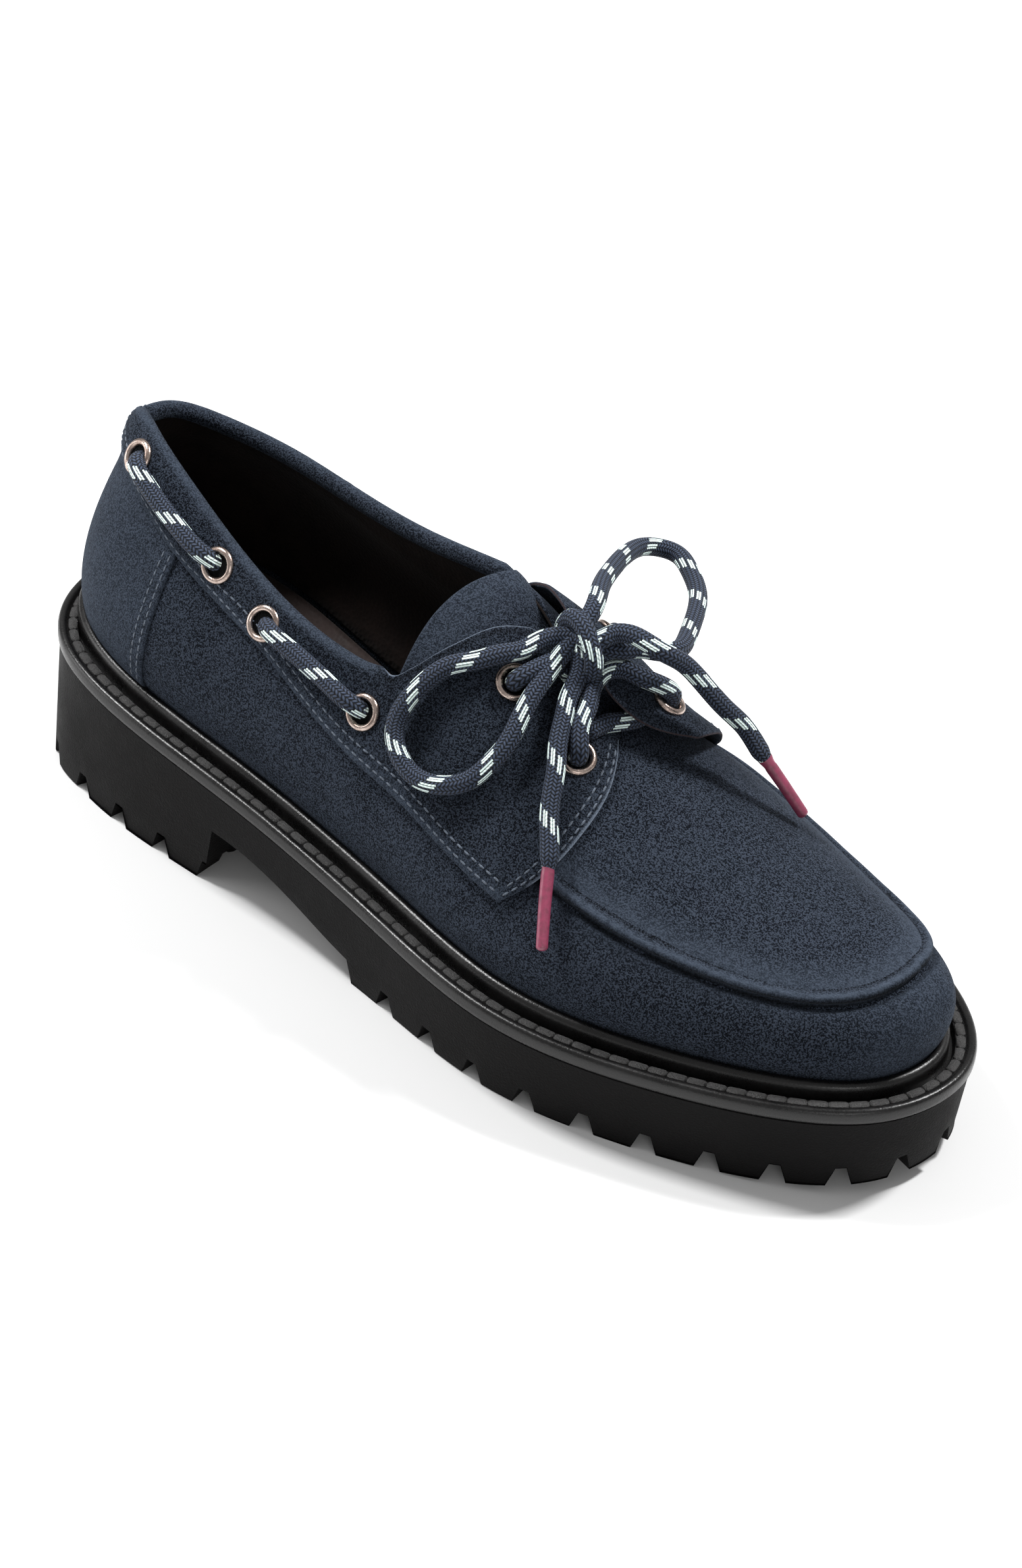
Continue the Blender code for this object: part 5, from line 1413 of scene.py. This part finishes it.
def bandOutline(side):
    # One row for each place along the band: (t, u) of its lower and of its upper edge, how much of it is
    # folded over the collar (1, down to 0 on the tab), how far along the tab it is and how thick the leaf
    # is there. The tab's upper edge is rounded by averaging rows.
    lead, turns = band["collarRows"], len(edgeTurn)
    heelRun, heelThin = leafStations([1.0], lead, 0.01)
    tabRun, tabThin = leafStations([band["tabRun"]], band["tabRows"], band["frontEdge"])
    k = tabRun[0, turns:] / band["tabRun"]
    thin = np.concatenate([heelThin[:turns], np.ones(lead - turns), tabThin[turns:]])
    backT = shoe["collarEnd"] * heelRun[0]
    lowT = np.concatenate([backT, shoe["collarEnd"] + (tab["front"] - shoe["collarEnd"]) * k])
    top = tabTop[side]
    highT = np.concatenate([backT, np.interp(k, top["k"], top["t"])])
    highU = np.concatenate([collarU(backT, side) + band["above"], np.interp(k, top["k"], top["u"])])
    corner = slice(lead - band["corner"][0], -band["corner"][1])
    highT[corner], highU[corner] = evened(highT)[corner], evened(highU)[corner]
    highU = np.minimum(highU, tab["reach"][side])
    fold = 1 - smooth(highT, *band["foldEnd"][side])
    e, crest = 0.02, np.minimum(highU, 1)  # a step of u under the edge
    pitch = np.linalg.norm(last(highT, crest, side) - last(highT, crest - e, side), axis=1) / e
    highU = highU - (band["roll"] + band["thick"] / 2) * np.sqrt(fold) / pitch  # room for the roll
    onTab = np.concatenate([np.zeros(lead), k])
    return tuple(v[:, None] for v in (lowT, bandEdge(lowT, side), highT, highU, fold, onTab, thin))


def bandSheet(side):
    # A folded sheet: from its lower edge up the outer face, over the collar by a half circle, and a short
    # way down inside; on the tab the fold runs out and only the leaf is left. Stations are millimetres
    # along the fold, height is where the fold starts, bend the angle turned so far.
    lowT, lowU, highT, highU, fold, onTab, thinRows = bandOutline(side)
    probe = np.linspace(0, 1, 16)[None, :]
    chord = last(lowT + (highT - lowT) * probe, lowU + (highU - lowU) * probe, side)
    height = np.linalg.norm(np.diff(chord, axis=1), axis=-1).sum(1)[:, None]
    turnLength = math.pi * band["roll"] * fold
    total = height + turnLength + band["flange"] * fold
    stations, thinColumns = leafStations(total[:, 0], band["columns"], band["thick"] / 2)
    w = np.clip(stations / height, 0, 1)
    t = lowT + (highT - lowT) * w + tab["bow"][side] * onTab**1.5 * (1 - np.abs(2 * w - 1) ** 2.4)
    u = lowU + (highU - lowU) * w
    pressed, pressedWide = band["pressed"]
    off = (band["face"] + lift(t, u, side) + band["puff"] * np.sin(math.pi * w) * fold
           - pressed * (1 - smooth(stations, 0.0, pressedWide)) * fold)
    past = u > 1  # over the crest, on the other side's wall
    sides, u = np.where(past, -side, side), np.where(past, 2 - u, u)
    normal, up = axesAt(t, u, sides)
    over = np.clip(stations - height, 0, None)
    bend = np.minimum(over, turnLength) / band["roll"]
    beyond = np.clip(over - turnLength, 0, None)
    outward = band["roll"] * (np.cos(bend) - 1) - np.sin(bend) * beyond
    upward = band["roll"] * np.sin(bend) + np.cos(bend) * beyond
    middle = skin(t, u, sides, off) + normal * outward[..., None] + up * upward[..., None]
    # the first rows meet the other side's band behind the heel
    gap, shares = band["meet"]
    meeting = spline(sections, "ridge", 0.0) + side * gap
    middle[:len(shares), :, 1] += (meeting - middle[:len(shares), :, 1]) * np.array(shares)[:, None]
    middle = middle + normal * (softness(middle) * band["soft"] * smooth(w, *band["softUp"]))[..., None]
    return middle, stations, thinRows[:, 0], thinColumns, fold, bend * (over > 0)


bandWearAndLight = {"edge": 0.5, "lower": (0.35, 1.0, 1.6), "fold": (0.4, 0.9, 0.7), "bareFrom": (6.0, 9.0),
            "raw": (0.8, 0.35, 0.9), "edgeHighlight": (0.05, 0.5), "shade": (0.5, 1.35, 0.6)}


def bandMarks(side, middle, stations, edge, fold, bend):
    # Paler along its edges and its lower edge, with a painted highlight over the fold's crest; painted black
    # as shade in the eyelets' holes. On the tabs the cut edge shows: brown on the inner one, a painted pale
    # highlight along the outer one, with a painted shade line under it.
    lower, lowerAt, lowerWide = bandWearAndLight["lower"]
    lightened, lightenedAt, lightenedWide = bandWearAndLight["fold"]
    raw, *rawEdge = bandWearAndLight["raw"]
    shade, shadeAt, shadeWide = bandWearAndLight["shade"]
    bare = (1 - fold) * smooth(stations, *bandWearAndLight["bareFrom"])
    # paler along the edges and the lower edge; a painted highlight over the crest of the fold
    paleAndHighlight = (bandWearAndLight["edge"] * edge + lower * bell(stations - lowerAt, lowerWide)
            + lightened * fold * bell(bend - lightenedAt, lightenedWide) * (bend > 0))
    # painted shade: a line just under the outer tab's top edge
    hole = shade * bell(stations[:, -1:] - stations - shadeAt, shadeWide) * bare * (side < 0)
    # painted shade: black in each eyelet's hole
    for place in eyeletPlaces(side):
        away = np.linalg.norm(middle - faceAt(*place, side)[0], axis=-1)
        hole = np.maximum(hole, 1 - smooth(away, *eyelet["hole"]))
    return {"paleAndHighlight": paleAndHighlight, "hole": hole, "raw": raw * smooth(edge, *rawEdge) * bare * (side > 0),
            "edgeHighlight": smooth(edge, *bandWearAndLight["edgeHighlight"]) * bare * (side < 0)}


def makeBand(word, side):
    # the sheet with its marks, rows turned about on the inner side so that its outer face is outside
    middle, stations, thinRows, thinColumns, fold, bend = bandSheet(side)
    edge = 1 - np.minimum(thinRows[:, None], thinColumns[None, :])
    marks = bandMarks(side, middle, stations, edge, fold, bend)
    turned = slice(None, None, -side)
    marks = {key: values[turned] for key, values in marks.items()}
    outside, normals = makeLeaf("collarBand" + word, middle[turned], band["thick"], thinRows[turned],
                                thinColumns, "suede_band", ("collar_band_" + word.lower(),), marks)
    makeBandStitches(word, side, outside[turned], normals[turned], stations)


def makeBandStitches(word, side, outside, normals, stations):
    # two rows of stitches along the band's lower edge and up the tab's front edge
    run = runLength(outside[:, band["columns"] // 2])
    along, up = band["stitchSteps"]
    lines = []
    for inset in seam["insets"]:
        lastRow = np.interp(run[-1] - inset, run, np.arange(len(run)))
        row = np.linspace(3, lastRow, along)
        column = np.array([np.interp(inset, stations[int(i)], np.arange(band["columns"])) for i in row])
        rise = np.linspace(column[-1], band["columns"] - band["stitchEnd"][side], up)
        front = np.full(up, lastRow)
        lines += [(onGrid(outside, row, column), onGrid(normals, row, column)),
                  (onGrid(outside, front, rise), onGrid(normals, front, rise))]
    makeStitches("bandStitches" + word, lines, "seam thread", band["stitchPitch"])


tongue = {"thick": 1.9, "drop": 3.8, "edgeU": 0.42, "columns": 121, "rows": 84, "sideEdge": 0.02,
          "endEdge": 0.018, "foot": (0.590, 0.012), "crestRound": 0.04, "flareFrom": 0.528,
          "flareOver": 0.044, "flare": (5.4, 0.25, 0.5), "blend": 0.05, "crest": 0.22,
          "paleAndHighlight": (0.5, 0.25), "edgeHighlight": (0.7, 0.35, 0.9)}
tongueTop = table("across t", (-1.0, 0.463), (-0.8, 0.464), (-0.5, 0.4665), (-0.3, 0.4705), (0.0, 0.479),
                  (0.3, 0.485), (0.45, 0.480), (0.6, 0.470), (0.8, 0.455), (1.0, 0.443))


def makeTongue():
    # A leaf from under the vamp up past the throat, standing up a little along its middle. Across runs from
    # -1 to 1 over the crest, where the two sides of the last are blended and evened.
    stations, thinAcross = leafStations([2.0], tongue["columns"], tongue["sideEdge"])
    runs, thinAlong = leafStations([1.0], tongue["rows"], tongue["endEdge"])
    across, along = stations[0] - 1, runs[0][None, :]
    low = tongue["foot"][0] - tongue["foot"][1] * across**2
    high = spline(tongueTop, "t", across, "across")
    t = low[:, None] + (high - low)[:, None] * along
    bend = np.hypot(across, tongue["crestRound"]) - tongue["crestRound"]
    u = np.broadcast_to((1 - (1 - tongue["edgeU"]) * bend)[:, None], t.shape)
    rise, riseAt, riseWide = tongue["flare"]
    flare = smooth(tongue["flareFrom"] - t, 0.0, tongue["flareOver"])
    off = rise * flare * bell(across[:, None] - riseAt, riseWide) - tongue["drop"] - tongue["thick"] / 2
    outer, inner = (skin(t, u, side, off) for side in (-1, 1))
    blend = smooth(across, -tongue["blend"], tongue["blend"])[:, None, None]
    middle = outer * (1 - blend) + inner * blend
    nearCrest = bell(across, tongue["crest"])[:, None, None]
    for _ in range(4):
        middle = middle * (1 - nearCrest) + evened(middle) * nearCrest
    edge = 1 - np.minimum(thinAcross[:, None], thinAlong[None, :])
    # paler along its edges and where its top stands up
    paleEdge, paleTop = tongue["paleAndHighlight"]
    # painted highlight: a pale line along the tongue's edges
    edgeHighlight, *highlightEdge = tongue["edgeHighlight"]
    makeLeaf("tongueLeaf", middle, tongue["thick"], thinAcross, thinAlong, "suede", ("tongue",),
             {"paleAndHighlight": paleEdge * edge + paleTop * flare, "edgeHighlight": edgeHighlight * smooth(edge, *highlightEdge)})


ground = {"half": 6.0, "colour": (0.72, 0.72, 0.72), "clouds": 0.02}


def makeFloor():
    # a plain floor, metres wide, that stages the shoe and isn't part of it
    finish = Finish("floor", ground["colour"], 0.9)
    clouds = finish.noise(finish.places(), ground["clouds"])
    finish.set("Roughness", finish.ramp(clouds, 0.3, 0.7, 0.85, 0.95))
    mesh = bpy.data.meshes.new("floor")
    corners = [(x * ground["half"], y * ground["half"], 0) for x, y in ((-1, -1), (1, -1), (1, 1), (-1, 1))]
    mesh.from_pydata(corners, [], [(0, 1, 2, 3)])
    mesh.materials.append(finish.material)
    floor = bpy.data.objects.new("floor", mesh)
    bpy.context.scene.collection.objects.link(floor)


makeCamera()
makeLights()
makeFinishes()
print("camera, lights and finishes are made")
makeBow()
makeKnot()
makeCollarLaces()
makeFrontLaces()
print("laces and eyelets are made")
makeOutsole()
makeStuds()
makeWelt()
makeFootbed()
print("sole, welt and footbed are made")
makeUpper()
makeLining()
makeRidge()
makeCounter()
print("upper is made")
makeBand("Outer", -1)
makeBand("Inner", 1)
makeTongue()
print("collar, tabs and tongue are made")
makeFloor()
